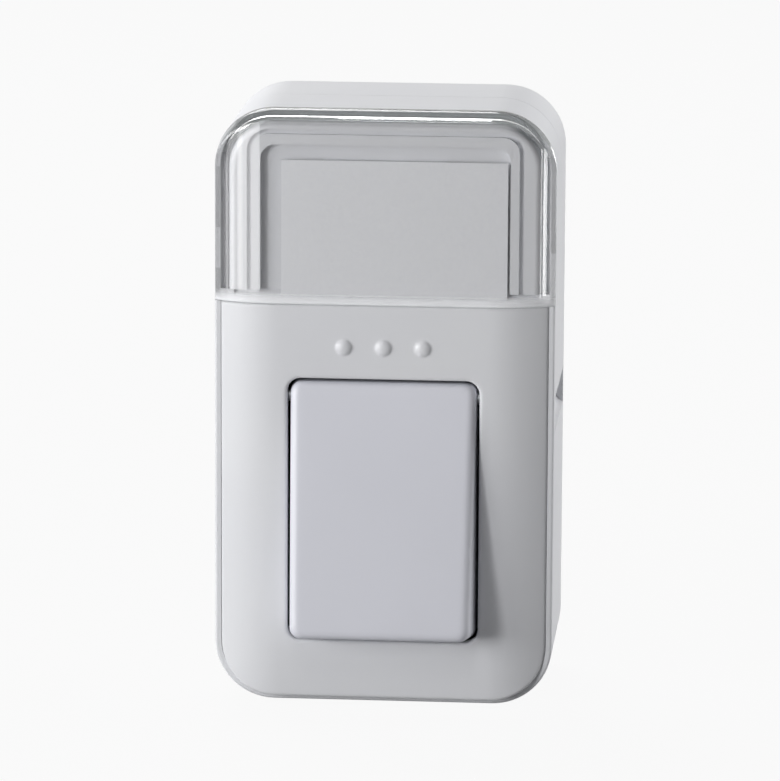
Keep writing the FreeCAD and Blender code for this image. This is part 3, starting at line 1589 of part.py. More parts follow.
os.makedirs("parts", exist_ok=True)
for part in NODES:
    part.Shape.exportStep("parts/" + part.Label + ".step")
    box = part.Shape.optimalBoundingBox()
    print(part.Label, "solids", len(part.Shape.Solids), "volume", round(part.Shape.Volume, 1),
          "box", [round(v, 2) for v in (box.XMin, box.XMax, -box.YMax, -box.YMin, box.ZMin, box.ZMax)])
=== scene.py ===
import logging
import math
from dataclasses import dataclass, field
from enum import Enum

import bmesh
import bpy
from mathutils import Matrix, Vector


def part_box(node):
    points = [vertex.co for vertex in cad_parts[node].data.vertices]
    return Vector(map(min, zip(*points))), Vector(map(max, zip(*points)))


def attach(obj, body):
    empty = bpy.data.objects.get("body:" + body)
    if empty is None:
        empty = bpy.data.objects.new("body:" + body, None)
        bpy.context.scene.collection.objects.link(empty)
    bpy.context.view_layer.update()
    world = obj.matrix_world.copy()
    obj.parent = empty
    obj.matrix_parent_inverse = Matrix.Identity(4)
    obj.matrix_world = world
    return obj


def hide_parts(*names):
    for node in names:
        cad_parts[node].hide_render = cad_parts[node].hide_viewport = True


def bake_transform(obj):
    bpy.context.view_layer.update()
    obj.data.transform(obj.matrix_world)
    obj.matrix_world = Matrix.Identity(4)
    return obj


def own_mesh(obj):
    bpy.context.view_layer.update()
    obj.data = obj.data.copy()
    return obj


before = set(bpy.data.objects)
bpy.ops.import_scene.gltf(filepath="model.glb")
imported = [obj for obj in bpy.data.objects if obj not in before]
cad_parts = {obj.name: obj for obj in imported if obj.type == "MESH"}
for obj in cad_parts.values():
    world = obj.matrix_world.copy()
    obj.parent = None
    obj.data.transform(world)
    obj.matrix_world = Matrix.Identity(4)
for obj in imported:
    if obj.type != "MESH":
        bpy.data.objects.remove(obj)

log = logging.getLogger("doorbell")
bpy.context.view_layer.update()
MM = 0.001
PHOTO_WIDTH, PHOTO_HEIGHT = 780, 781
# Noise values lie around a half, so colours blend between these two
NOISE_LOW, NOISE_HIGH = 0.3, 0.7
# Points nearer to each other than this, in metres, are one
SAME_POINT = 1e-6


class Body(Enum):
    """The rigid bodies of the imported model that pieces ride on."""

    CASE = "case"
    BUTTON = "button"
    ROCKER = "rocker"
    WINDOW = "label_window"


# Colours, nodes and objects


def linear(code: str) -> tuple[float, float, float, float]:
    """Turn an sRGB hex colour into linear RGBA.

    Args:
        code: Six hex digits.

    Returns:
        Red, green, blue and an alpha of one.
    """
    channels = (int(code[i : i + 2], 16) / 255 for i in (0, 2, 4))
    red, green, blue = (
        c / 12.92 if c <= 0.04045 else ((c + 0.055) / 1.055) ** 2.4 for c in channels
    )
    return red, green, blue, 1.0


def add_node(
    tree: bpy.types.NodeTree,
    kind: str,
    inputs: dict[str | int, object] | None = None,
    **settings: object,
) -> bpy.types.Node:
    """Add one node with its settings and links.

    Args:
        tree: Node tree that gets the node.
        kind: Blender's type name of the node.
        inputs: Value or source socket for each input, by name or number.
        settings: Properties of the node.

    Returns:
        The new node.
    """
    made = tree.nodes.new(kind)
    for name, value in settings.items():
        setattr(made, name, value)
    for key, value in (inputs or {}).items():
        if isinstance(value, bpy.types.NodeSocket):
            tree.links.new(value, made.inputs[key])
        else:
            made.inputs[key].default_value = value
    return made


def blank_material(name: str) -> tuple[bpy.types.Material, bpy.types.NodeTree, bpy.types.Node]:
    """Make a material that holds only an output node.

    Args:
        name: Name of the real material.

    Returns:
        The material, its tree and its output node.
    """
    material = bpy.data.materials.new(name)
    material.use_nodes = True
    tree = material.node_tree
    tree.nodes.clear()
    return material, tree, tree.nodes.new("ShaderNodeOutputMaterial")


def mottle(
    tree: bpy.types.NodeTree, noise: bpy.types.NodeSocket, shade: str, colour: str
) -> bpy.types.NodeSocket:
    """Blend the two tones of a finish by a noise.

    Args:
        tree: Node tree of the material.
        noise: Socket that drives the blend.
        shade: sRGB hex colour where the noise is low.
        colour: sRGB hex colour where it is high.

    Returns:
        The blended colour socket.
    """
    blend = add_node(tree, "ShaderNodeValToRGB", {"Fac": noise})
    for stop, position, tone in zip(
        blend.color_ramp.elements, (NOISE_LOW, NOISE_HIGH), (shade, colour)
    ):
        stop.position, stop.color = position, linear(tone)
    return blend.outputs["Color"]


def uneven(
    tree: bpy.types.NodeTree, noise: bpy.types.NodeSocket, middle: float, swing: float
) -> bpy.types.NodeSocket:
    """Vary a value about its middle by a noise.

    Args:
        tree: Node tree of the material.
        noise: Socket that drives the change.
        middle: The value in the middle.
        swing: How far it goes down and up at most.

    Returns:
        The socket with the value.
    """
    span = add_node(
        tree, "ShaderNodeMapRange",
        {"Value": noise, "To Min": middle - swing, "To Max": middle + swing},
    )
    return span.outputs["Result"]


def add_object(name: str, data: bpy.types.ID) -> bpy.types.Object:
    """Make an object and put it in the scene.

    Args:
        name: Name of the object.
        data: Its mesh, lamp or camera.

    Returns:
        The object.
    """
    made = bpy.data.objects.new(name, data)
    bpy.context.scene.collection.objects.link(made)
    return made


# Finishes


@dataclass(frozen=True)
class MouldedPlastic:
    """Plastic with a fine grain: on a moulding it is the spark grain of the mould.

    It breaks the light up into a satin sheen. A real grain is about 0.1 mm wide, and it is drawn
    at 0.35 mm so that it shows.
    """

    name: str
    colour: str
    shade: str
    roughness: float = 0.42
    roughness_swing: float = 0.04
    drift_mm: float = 30.0
    grain_mm: float = 0.35
    grain_depth_mm: float = 0.004
    soft_edge_mm: float = 0.0
    ior: float = 1.53

    def material(self) -> bpy.types.Material:
        """Build the node material.

        Returns:
            The material.
        """
        material, tree, output = blank_material(self.name)
        place = add_node(tree, "ShaderNodeTexCoord").outputs["Object"]
        # Slow drift of tone, as pigment flows in the mould
        drift = add_node(
            tree, "ShaderNodeTexNoise", {"Vector": place, "Scale": 1 / (self.drift_mm * MM)})
        colour = mottle(tree, drift.outputs["Fac"], self.shade, self.colour)
        grain = add_node(
            tree, "ShaderNodeTexNoise",
            {"Vector": place, "Scale": 1 / (self.grain_mm * MM), "Detail": 3.0},
        )
        bump = add_node(
            tree, "ShaderNodeBump",
            {"Height": grain.outputs["Fac"], "Distance": self.grain_depth_mm * MM, "Strength": 1.0},
        )
        if self.soft_edge_mm:
            # Wide soft highlights on the edges, in the shading alone
            soft = add_node(
                tree, "ShaderNodeBevel", {"Radius": self.soft_edge_mm * MM}, samples=8)
            tree.links.new(soft.outputs["Normal"], bump.inputs["Normal"])
        sheen = uneven(tree, grain.outputs["Fac"], self.roughness, self.roughness_swing)
        shader = add_node(
            tree, "ShaderNodeBsdfPrincipled",
            {"Base Color": colour, "Roughness": sheen, "Normal": bump.outputs["Normal"],
             "IOR": self.ior},
        )
        tree.links.new(shader.outputs["BSDF"], output.inputs["Surface"])
        return material


@dataclass(frozen=True)
class ClearPolycarbonate:
    """Polished clear polycarbonate: sharp bright reflections, no grain, and a matt, light lower end
    that is a painted glow in place of light carried along the plastic.

    Its flow lines bend the reflections a little. Shadow rays pass, so that the card stays lit.
    Colour that darkens towards the top is painted shade.
    """

    name: str = "clear_polycarbonate"
    colour: str = "FBFBFB"
    top_shade_colour: str = "FBFBFB"
    passing: str = "FAFAFA"
    top_shade_passing: str = "FAFAFA"
    upper_start_mm: float = 33.0
    upper_end_mm: float = 41.0
    matt_glow: float = 0.85
    matt_glow_start_mm: float = 15.3
    matt_glow_end_mm: float = 16.6
    matt_glow_colour: str = "F4F5F8"
    matt_glow_roughness: float = 0.55
    roughness: float = 0.02
    ripple_mm: float = 6.0
    ripple_depth_mm: float = 0.004
    ripple: float = 0.15
    ior: float = 1.585

    @staticmethod
    def tint(
        tree: bpy.types.NodeTree, rise: bpy.types.NodeSocket, low: str, high: str
    ) -> bpy.types.NodeSocket | tuple[float, float, float, float]:
        """Colour of the plastic, which may darken towards the top of the cover as painted shade.

        Args:
            tree: Node tree of the material.
            rise: Socket that goes from zero to one towards the top.
            low: sRGB hex colour below.
            high: sRGB hex colour at the top.

        Returns:
            One colour if both are the same, or the blended colour socket.
        """
        if low == high:
            return linear(low)
        # Inputs 6 and 7 and output 2 of this node are its colours
        blend = add_node(
            tree, "ShaderNodeMix", {0: rise, 6: linear(low), 7: linear(high)}, data_type="RGBA")
        return blend.outputs[2]

    def material(self) -> bpy.types.Material:
        """Build the node material.

        Returns:
            The material.
        """
        material, tree, output = blank_material(self.name)
        place = add_node(tree, "ShaderNodeTexCoord").outputs["Object"]
        flow = add_node(
            tree, "ShaderNodeTexNoise", {"Vector": place, "Scale": 1 / (self.ripple_mm * MM)})
        bump = add_node(
            tree, "ShaderNodeBump",
            {"Height": flow.outputs["Fac"], "Distance": self.ripple_depth_mm * MM,
             "Strength": self.ripple},
        )
        height = add_node(tree, "ShaderNodeSeparateXYZ", {"Vector": place}).outputs["Z"]
        rise = add_node(
            tree, "ShaderNodeMapRange",
            {"Value": height, "From Min": self.upper_start_mm * MM,
             "From Max": self.upper_end_mm * MM},
        ).outputs["Result"]
        # Towards the top the plastic may be tinted darker: painted shade for the dark band along
        # the top edge
        clear = add_node(
            tree, "ShaderNodeBsdfPrincipled",
            {"Base Color": self.tint(tree, rise, self.colour, self.top_shade_colour),
             "Roughness": self.roughness, "Transmission Weight": 1.0, "IOR": self.ior,
             "Normal": bump.outputs["Normal"]},
        )
        # Matt near-white layer that fades out upwards: a painted glow in place of light carried
        # along the clear plastic
        matt = add_node(
            tree, "ShaderNodeBsdfPrincipled",
            {"Base Color": linear(self.matt_glow_colour), "Roughness": self.matt_glow_roughness,
             "IOR": self.ior},
        )
        fade = add_node(
            tree, "ShaderNodeMapRange",
            {"Value": height, "From Min": self.matt_glow_start_mm * MM,
             "From Max": self.matt_glow_end_mm * MM, "To Min": self.matt_glow, "To Max": 0.0},
        )
        body = add_node(
            tree, "ShaderNodeMixShader",
            {0: fade.outputs["Result"], 1: clear.outputs["BSDF"], 2: matt.outputs["BSDF"]},
        )
        path = add_node(tree, "ShaderNodeLightPath")
        # Light that passes may be tinted darker towards the top: painted shade in the channel
        # behind the top edge
        through = add_node(
            tree, "ShaderNodeBsdfTransparent",
            {"Color": self.tint(tree, rise, self.passing, self.top_shade_passing)},
        )
        passing = add_node(
            tree, "ShaderNodeMath",
            {0: path.outputs["Is Shadow Ray"], 1: path.outputs["Is Diffuse Ray"]},
            operation="MAXIMUM",
        )
        mix = add_node(
            tree, "ShaderNodeMixShader",
            {0: passing.outputs[0], 1: body.outputs["Shader"], 2: through.outputs["BSDF"]},
        )
        tree.links.new(mix.outputs["Shader"], output.inputs["Surface"])
        return material


@dataclass(frozen=True)
class PlainCard:
    """Uncoated white card: matt, with a fine mottle of fibres."""

    name: str = "uncoated_card"
    colour: str = "EBECEF"
    shade: str = "E5E6EA"
    roughness: float = 0.8
    fibre_mm: float = 0.6
    fibre_depth_mm: float = 0.01

    def material(self) -> bpy.types.Material:
        """Build the node material.

        Returns:
            The material.
        """
        material, tree, output = blank_material(self.name)
        place = add_node(tree, "ShaderNodeTexCoord").outputs["Object"]
        fibre = add_node(
            tree, "ShaderNodeTexNoise",
            {"Vector": place, "Scale": 1 / (self.fibre_mm * MM), "Detail": 6.0,
             "Roughness": 0.7},
        )
        colour = mottle(tree, fibre.outputs["Fac"], self.shade, self.colour)
        bump = add_node(
            tree, "ShaderNodeBump",
            {"Height": fibre.outputs["Fac"], "Distance": self.fibre_depth_mm * MM,
             "Strength": 0.6},
        )
        shader = add_node(
            tree, "ShaderNodeBsdfPrincipled",
            {"Base Color": colour, "Roughness": self.roughness,
             "Normal": bump.outputs["Normal"]},
        )
        tree.links.new(shader.outputs["BSDF"], output.inputs["Surface"])
        return material


@dataclass(frozen=True)
class Metal:
    """Drawn, ground or stamped metal, whose fine lines stretch the sheen.

    They run along the axis where stretch is small, or are an even grain where it is one all round.
    Real ones are about 0.03 mm apart, and they are drawn at 0.15 mm so that they show.
    """

    name: str
    colour: str
    roughness: float = 0.32
    roughness_swing: float = 0.08
    line_mm: float = 0.15
    line_depth_mm: float = 0.003
    stretch: tuple[float, float, float] = (1.0, 1.0, 0.05)

    def material(self) -> bpy.types.Material:
        """Build the node material.

        Returns:
            The material.
        """
        material, tree, output = blank_material(self.name)
        place = add_node(tree, "ShaderNodeTexCoord").outputs["Object"]
        drawn = add_node(tree, "ShaderNodeMapping", {"Vector": place, "Scale": self.stretch})
        lines = add_node(
            tree, "ShaderNodeTexNoise",
            {"Vector": drawn.outputs["Vector"], "Scale": 1 / (self.line_mm * MM), "Detail": 2.0},
        )
        sheen = uneven(tree, lines.outputs["Fac"], self.roughness, self.roughness_swing)
        bump = add_node(
            tree, "ShaderNodeBump",
            {"Height": lines.outputs["Fac"], "Distance": self.line_depth_mm * MM,
             "Strength": 0.7},
        )
        shader = add_node(
            tree, "ShaderNodeBsdfPrincipled",
            {"Base Color": linear(self.colour), "Metallic": 1.0, "Roughness": sheen,
             "Normal": bump.outputs["Normal"]},
        )
        tree.links.new(shader.outputs["BSDF"], output.inputs["Surface"])
        return material


# The rounded edge and the lip: matt and light at the sides from a painted glow, clearer at the top,
# where painted shade darkens them and the light that passes
CLEAR_EDGE = ClearPolycarbonate(
    "clear_polycarbonate_edge", "F6F6F6", "D2D4D3", "FAFAFA", "E6E8E8", matt_glow=0.4,
    matt_glow_start_mm=33.0, matt_glow_end_mm=41.0, roughness=0.07, ripple=0.03)
# White ABS: satin, with soft highlights, and a little glossier on the button
SATIN_WHITE = MouldedPlastic("satin_white_abs", "DFE0E3", "DADBDF")
COVER_WHITE = MouldedPlastic("satin_white_abs_cover", "DFE0E3", "DADBDF", soft_edge_mm=0.7)
BUTTON_WHITE = MouldedPlastic("button_white_abs", "DCDDE5", "D8D9E1", roughness=0.38,
                              soft_edge_mm=1.3)
# Plastics of the inside: nylon and polyester are satin, epoxy is near black and duller
BLACK_NYLON = MouldedPlastic("black_nylon", "1C1C1F", "17171A", roughness=0.5)
GREY_POLYESTER = MouldedPlastic("grey_polyester", "35363B", "2D2E33", roughness=0.5)
BLACK_EPOXY = MouldedPlastic("black_epoxy", "141416", "0F0F11", roughness=0.55, grain_mm=0.15)
# Solder resist is a thin glossy lacquer, and foam tape is quite matt
SOLDER_RESIST = MouldedPlastic("green_solder_resist", "0F5A2C", "0C4A24", roughness=0.3, ior=1.5)
WHITE_FOAM = MouldedPlastic("white_foam_tape", "D4D4D0", "C4C4C0", roughness=0.9,
                            grain_depth_mm=0.05)
# Steels and aluminium are bright, soft iron and the magnet's plating duller, copper warm
GROUND_STEEL = Metal("ground_steel", "BFC1C5", stretch=(0.05, 1.0, 1.0))
SPRING_STEEL = Metal("spring_steel", "A6A8AC", roughness=0.28)
ZINC_PLATE = Metal("zinc_plated_steel", "C9CBCE", roughness=0.3, stretch=(1.0, 1.0, 1.0))
SOFT_IRON = Metal("stamped_soft_iron", "8D8E91", roughness=0.42)
DRAWN_ALUMINIUM = Metal("drawn_aluminium", "D3D4D6", roughness=0.3, stretch=(1.0, 0.05, 1.0))
COPPER_WIRE = Metal("enamelled_copper", "C77B4A", roughness=0.3, line_mm=0.2,
                    stretch=(0.05, 0.05, 1.0))
PLATED_MAGNET = Metal("plated_magnet", "77787C", roughness=0.5, stretch=(1.0, 1.0, 1.0))


# Sub-assemblies


def dress(nodes: tuple[str, ...], material: bpy.types.Material) -> None:
    """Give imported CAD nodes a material.

    Args:
        nodes: Names of the nodes.
        material: The material that each of them gets.
    """
    for name in nodes:
        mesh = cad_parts[name].data
        mesh.materials.clear()
        mesh.materials.append(material)
        log.info("dressed %s as %s", name, material.name)


def smooth_piece(
    shape: bmesh.types.BMesh, name: str, sharp_deg: float, *materials: bpy.types.Material
) -> bpy.types.Object:
    """Shade a shape smooth between its sharp edges and make it an object.

    Args:
        shape: The mesh, which is freed.
        name: Name of the piece.
        sharp_deg: Angle from which an edge stays sharp.
        materials: Its materials, in the order of their slots.

    Returns:
        The piece.
    """
    for face in shape.faces:
        face.smooth = True
    for edge in shape.edges:
        edge.smooth = edge.calc_face_angle(0.0) < math.radians(sharp_deg)
    log.info("%s: %d faces, %d open edges", name, len(shape.faces),
             sum(1 for e in shape.edges if not e.is_manifold))
    mesh = bpy.data.meshes.new(name)
    shape.to_mesh(mesh)
    shape.free()
    for material in materials:
        mesh.materials.append(material)
    return add_object(name, mesh)


def merged_copy(node: str, name: str, sharp_deg: float) -> bpy.types.Object:
    """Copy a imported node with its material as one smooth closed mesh.

    Args:
        node: Name of the node.
        name: Name of the copy.
        sharp_deg: Angle from which an edge stays sharp.

    Returns:
        The copy.
    """
    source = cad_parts[node].data
    shape = bmesh.new()
    shape.from_mesh(source)
    bmesh.ops.remove_doubles(shape, verts=shape.verts, dist=SAME_POINT)
    return smooth_piece(shape, name, sharp_deg, source.materials[0])


@dataclass
class CaseShells:
    """The white shells: wall shell, front housing and the opaque front cover.

    The front cover's face lies 27.5 mm in front of the wall, and its dots keep half their height.
    """

    finish: MouldedPlastic = SATIN_WHITE
    cover_finish: MouldedPlastic = COVER_WHITE
    face: float = 27.5
    dot_share: float = 0.5
    sharp_deg: float = 30.0

    def build(self) -> None:
        """Dress the shells and the foam tape behind them."""
        dress(("wall_shell", "front_housing"), self.finish.material())
        dress(("front_cover",), self.cover_finish.material())
        self.low_dots()
        dress(("adhesive_pad",), WHITE_FOAM.material())

    def low_dots(self) -> None:
        """Replace the front cover with a copy whose raised dots stand lower."""
        piece = merged_copy("front_cover", "front_cover_shell", self.sharp_deg)
        for vert in piece.data.vertices:
            rise = -vert.co.y - self.face * MM
            if rise > SAME_POINT:
                vert.co.y += rise * (1 - self.dot_share)
        # Large faces set the normals, so that the flat face shades evenly
        even = piece.modifiers.new("even_faces", "WEIGHTED_NORMAL")
        even.keep_sharp, even.weight = True, 100
        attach(piece, Body.CASE.value)
        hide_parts("front_cover")


@dataclass
class ClearShell:
    """The clear cover's moulding: a thin rounded shell with a lip, measured in millimetres.

    The first section is extruded round the open outline, from the lower left corner over the top
    to the lower right, and takes the shape of each station on its way. A section runs from the
    inside of the outer face over the rounded edge and the lip to the inside of the inner face,
    and two grids close the middle of the faces. The edge's radius changes along the outline, so
    each section is worked out at its station.
    """

    # Outline, and depths from the wall
    half_width: float = 24.0
    top: float = 42.6
    bottom: float = 15.03
    corner: float = 8.5
    seam: float = 25.0
    face: float = 27.5
    # Faces, which are flat in the middle and roll back at both sides
    flat_x: float = 14.83
    roll_radius: float = 19.5
    # Wall and rounded edges
    edge_radius: float = 2.0
    plate: float = 1.0
    wall: float = 1.2
    inner_edge_radius: float = 0.8
    end_radius: float = 0.2
    # Lip that enters the housing
    lip_outer: float = 0.97
    lip_inner: float = 1.72
    lip_length: float = 1.4
    lip_root: float = 0.5
    lip_bottom: float = 16.75
    # Polished flat in the outer edge
    flat_tilt: float = 28.0
    flat_share: float = 0.17
    # How near the edges come to the seam, where the face rolls down to it
    seam_clearance: float = 0.05
    wall_step: float = 0.01
    outer_room_share: float = 0.9
    inner_room_share: float = 0.8
    # Fineness of the mesh
    sharp_deg: float = 35.0
    corner_steps: int = 16
    side_steps: int = 6
    top_steps: int = 6
    edge_steps: int = 10
    end_steps: int = 3
    face_steps: tuple[float, ...] = (0.06, 0.12, 0.2, 0.3, 0.42, 0.56, 0.7, 0.85, 1.0)

    def drop(self, x: float, plate: float = 0.0) -> float:
        """How far the rolled face lies behind its flat middle, on the outside or the inside.

        Args:
            x: Distance from the middle line.
            plate: Plate thickness, to follow the inner face.

        Returns:
            The drop of the face.
        """
        reach = max(abs(x) - self.flat_x, 0.0)
        radius = self.roll_radius - plate
        return radius - math.sqrt(radius * radius - reach * reach)

    def stations(self) -> list[tuple[str, float, bool]]:
        """Places of the sections, from the lower left round to the lower right.

        Returns:
            For each the kind, its height, share of the turn or width, and whether it has the lip.
        """
        arc_z = self.top - self.corner
        heights = [self.bottom, self.lip_bottom] + [
            self.lip_bottom + (arc_z - self.lip_bottom) * i / self.side_steps
            for i in range(self.side_steps + 1)]
        left = [("side", z, i > 1) for i, z in enumerate(heights)]
        left += [("turn", i / self.corner_steps, True) for i in range(1, self.corner_steps)]
        arc_x = self.half_width - self.corner
        across = [self.flat_x * i / self.top_steps
                  for i in range(1 - self.top_steps, self.top_steps)]
        over = [("top", x, True) for x in (-arc_x, -self.flat_x, *across, self.flat_x, arc_x)]
        right = [(kind + "_right", place, lip) for kind, place, lip in reversed(left)]
        return left + over + right

    def at(self, kind: str, place: float, inset: float) -> tuple[float, float]:
        """Point of a station at a distance inside the outline.

        Args:
            kind: Side, turn or top.
            place: Height, share of the quarter turn, or width.
            inset: Distance inside the outline.

        Returns:
            The point's x and z.
        """
        if kind == "top":
            return place, self.top - inset
        mirror = 1 if kind.endswith("_right") else -1
        if kind.startswith("side"):
            return mirror * (self.half_width - inset), place
        angle = place * math.pi / 2
        centre = self.half_width - self.corner
        reach = self.corner - inset
        return (mirror * (centre + reach * math.cos(angle)),
                self.top - self.corner + reach * math.sin(angle))

    def section(self, kind: str, place: float, lip: bool) -> list[tuple[float, float, float]]:
        """Points of one section, from the outer face's middle round to the inner face's middle.

        Args:
            kind: Side, turn or top.
            place: Place of the station.
            lip: Whether the lip is there.

        Returns:
            Points as x, depth and z.
        """
        def point(inset: float, depth: float) -> tuple[float, float, float]:
            """Point of this station at an inset and a depth."""
            x, z = self.at(kind, place, inset)
            return x, depth, z

        def outer(inset: float, fall: float) -> tuple[float, float, float]:
            """Point at a distance behind the outer face."""
            x, _ = self.at(kind, place, inset)
            return point(inset, self.face - self.drop(x) - fall)

        def inner(inset: float, fall: float) -> tuple[float, float, float]:
            """Point at a distance behind the inner face."""
            x, _ = self.at(kind, place, inset)
            return point(inset, self.face - self.plate - self.drop(x, self.plate) - fall)

        rim_x, _ = self.at(kind, place, 0.0)
        room = self.face - self.drop(rim_x) - self.seam
        radius = min(self.edge_radius, self.outer_room_share * room)
        points = [outer(radius + (self.corner - radius) * f, 0.0)
                  for f in reversed(self.face_steps)]
        points += [outer(inset, fall) for inset, fall in self.edge_profile(radius)]
        # The inner face ends where it would come down to the seam
        wall = self.wall
        while inner(wall, 0.0)[1] < self.seam + self.seam_clearance:
            wall += self.wall_step
        height = inner(wall, 0.0)[1] - self.seam
        root = self.seam + min(self.lip_root, height / 2)
        end = self.seam - self.lip_length
        points += [
            point(0.0, self.seam),
            point(self.lip_outer, self.seam),
            point(self.lip_outer, end if lip else self.seam),
            point(self.lip_inner, end if lip else root),
            point(self.lip_inner, root),
            point(wall, root),
        ]
        radius = min(self.inner_edge_radius,
                     self.inner_room_share * (inner(wall, 0.0)[1] - root))
        for i in range(self.edge_steps, -1, -1):
            angle = i / self.edge_steps * math.pi / 2
            points.append(inner(wall + radius * (1 - math.sin(angle)),
                                radius * (1 - math.cos(angle))))
        start = wall + radius
        return points + [inner(start + (self.corner - start) * f, 0.0) for f in self.face_steps]

    def edge_profile(self, radius: float) -> list[tuple[float, float]]:
        """Rounded outer edge with a narrow polished flat in it.

        Args:
            radius: How far the edge reaches over the face.

        Returns:
            Insets from the outline with the falls below the face, from the face outwards.
        """
        tilt = math.radians(self.flat_tilt)
        flat = radius * self.flat_share
        arc = radius - flat * math.cos(tilt)
        angles = [i / self.edge_steps * math.pi / 2 for i in range(self.edge_steps + 1)]
        turned = [(angle, False) for angle in angles if angle <= tilt] + [(tilt, False)]
        turned += [(tilt, True)] + [(angle, True) for angle in angles if angle > tilt]
        return [
            (radius - arc * math.sin(angle) - past * flat * math.cos(tilt),
             arc * (1 - math.cos(angle)) + past * flat * math.sin(tilt))
            for angle, past in turned
        ]

    def sweep(self, shape: bmesh.types.BMesh) -> None:
        """Extrude the first section from station to station, and mark the edge band.

        Args:
            shape: Mesh that gets the swept skin.
        """
        number = shape.verts.layers.int.new("place")
        stations = self.stations()
        chain = []
        for i, point in enumerate(self.section(*stations[0])):
            chain.append(shape.verts.new(self.to_scene(*point)))
            chain[-1][number] = i
        edges = [shape.edges.new(pair) for pair in zip(chain, chain[1:])]
        for station in stations[1:]:
            made = bmesh.ops.extrude_edge_only(shape, edges=edges)["geom"]
            fresh = {v for v in made if isinstance(v, bmesh.types.BMVert)}
            edges = [e for e in made if isinstance(e, bmesh.types.BMEdge)
                     and all(v in fresh for v in e.verts)]
            points = self.section(*station)
            for vert in fresh:
                vert.co = self.to_scene(*points[vert[number]])
        # The band runs from the outer end of the flat to half way round the inner edge
        flat_end = len(self.face_steps) + int(self.edge_steps * self.flat_tilt / 90) + 2
        inner_middle = len(points) - len(self.face_steps) - self.edge_steps // 2
        band = range(flat_end, inner_middle)
        for face in shape.faces:
            face.material_index = int(min(v[number] for v in face.verts) in band)

    def middle(self, shape: bmesh.types.BMesh, plate: float) -> None:
        """Close the middle of the outer or the inner face with a grid.

        Args:
            shape: Mesh that gets the grid.
            plate: Depth of the face below the outer one.
        """
        heights = [place for kind, place, _ in self.stations() if kind == "side"]
        widths = [place for kind, place, _ in self.stations() if kind == "top"]
        columns, rows = len(widths) - 1, len(heights) - 1
        grid = bmesh.ops.create_grid(shape, x_segments=columns, y_segments=rows, size=1.0)["verts"]
        for vert in grid:
            x = widths[round((vert.co.x + 1) / 2 * columns)]
            z = heights[round((vert.co.y + 1) / 2 * rows)]
            vert.co = self.to_scene(x, self.face - plate - self.drop(x, plate), z)

    @staticmethod
    def to_scene(x: float, depth: float, z: float) -> Vector:
        """Turn millimetres of width, depth and height into a place in the scene."""
        return Vector((x * MM, -depth * MM, z * MM))

    def round_end(self, shape: bmesh.types.BMesh) -> None:
        """Round the front edge of the lower end, where its end face meets the outer face.

        Args:
            shape: Closed mesh of the shell.
        """
        low = self.bottom * MM
        facing_down, facing_front = 0.9, -0.5
        ring = [
            e for e in shape.edges
            if all(abs(v.co.z - low) < SAME_POINT for v in e.verts)
            and any(abs(f.normal.z) > facing_down for f in e.link_faces)
            and any(f.normal.y < facing_front for f in e.link_faces)
        ]
        bmesh.ops.bevel(shape, geom=ring, offset=self.end_radius * MM, segments=self.end_steps,
                        profile=0.5, affect="EDGES", material=-1, offset_type="OFFSET")

    def build(self, body: bpy.types.Material, edge: bpy.types.Material) -> bpy.types.Object:
        """Sweep the sections, close the middle and round the lower end.

        Args:
            body: Material of the faces.
            edge: Material of the rounded edge and the lip.

        Returns:
            The closed shell.
        """
        shape = bmesh.new()
        self.sweep(shape)
        self.middle(shape, 0.0)
        self.middle(shape, self.plate)
        bmesh.ops.remove_doubles(shape, verts=shape.verts, dist=SAME_POINT)
        bmesh.ops.holes_fill(shape, edges=[e for e in shape.edges if e.is_boundary], sides=0)
        bmesh.ops.recalc_face_normals(shape, faces=shape.faces)
        self.round_end(shape)
        return smooth_piece(shape, "clear_shell", self.sharp_deg, body, edge)


@dataclass
class LabelWindow:
    """The card and the clear cover in front of it."""

    shell: ClearShell = field(default_factory=ClearShell)

    def build(self) -> None:
        """Dress the card and put the clear shell in the cover's place."""
        dress(("label_card",), PlainCard().material())
        clear = ClearPolycarbonate().material()
        dress(("clear_cover",), clear)
        piece = self.shell.build(clear, CLEAR_EDGE.material())
        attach(piece, Body.WINDOW.value)
        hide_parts("clear_cover")


@dataclass
class PressButton:
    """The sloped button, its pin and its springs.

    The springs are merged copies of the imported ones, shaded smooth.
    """

    joint: str = "button_hinge"
    blade_keep: float = 0.85
    sharp_deg: float = 40.0

    def build(self) -> None:
        """Dress the button and what moves it back."""
        dress(("push_button",), BUTTON_WHITE.material())
        dress(("hinge_pin", "rocker_pin"), GROUND_STEEL.material())
        steel = SPRING_STEEL.material()
        for side in ("left", "right"):
            piece, rear, front = self.soft_copy(f"return_spring_{side}", steel)
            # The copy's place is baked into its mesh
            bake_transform(piece)
        piece, rear, _ = self.soft_copy("drive_spring", steel)
        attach(piece, Body.ROCKER.value)
        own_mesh(piece)

    def soft_copy(
        self, node: str, steel: bpy.types.Material
    ) -> tuple[bpy.types.Object, tuple[float, float, float], tuple[float, float, float]]:
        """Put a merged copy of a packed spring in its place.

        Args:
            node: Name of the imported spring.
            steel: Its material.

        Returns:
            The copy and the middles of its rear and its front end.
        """
        dress((node,), steel)
        piece = merged_copy(node, f"{node}_soft", self.sharp_deg)
        low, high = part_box(node)
        x, z = (low[0] + high[0]) / 2, (low[2] + high[2]) / 2
        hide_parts(node)
        log.info("%s is %.1f mm deep", piece.name, (high[1] - low[1]) / MM)
        return piece, (x, high[1], z), (x, low[1], z)


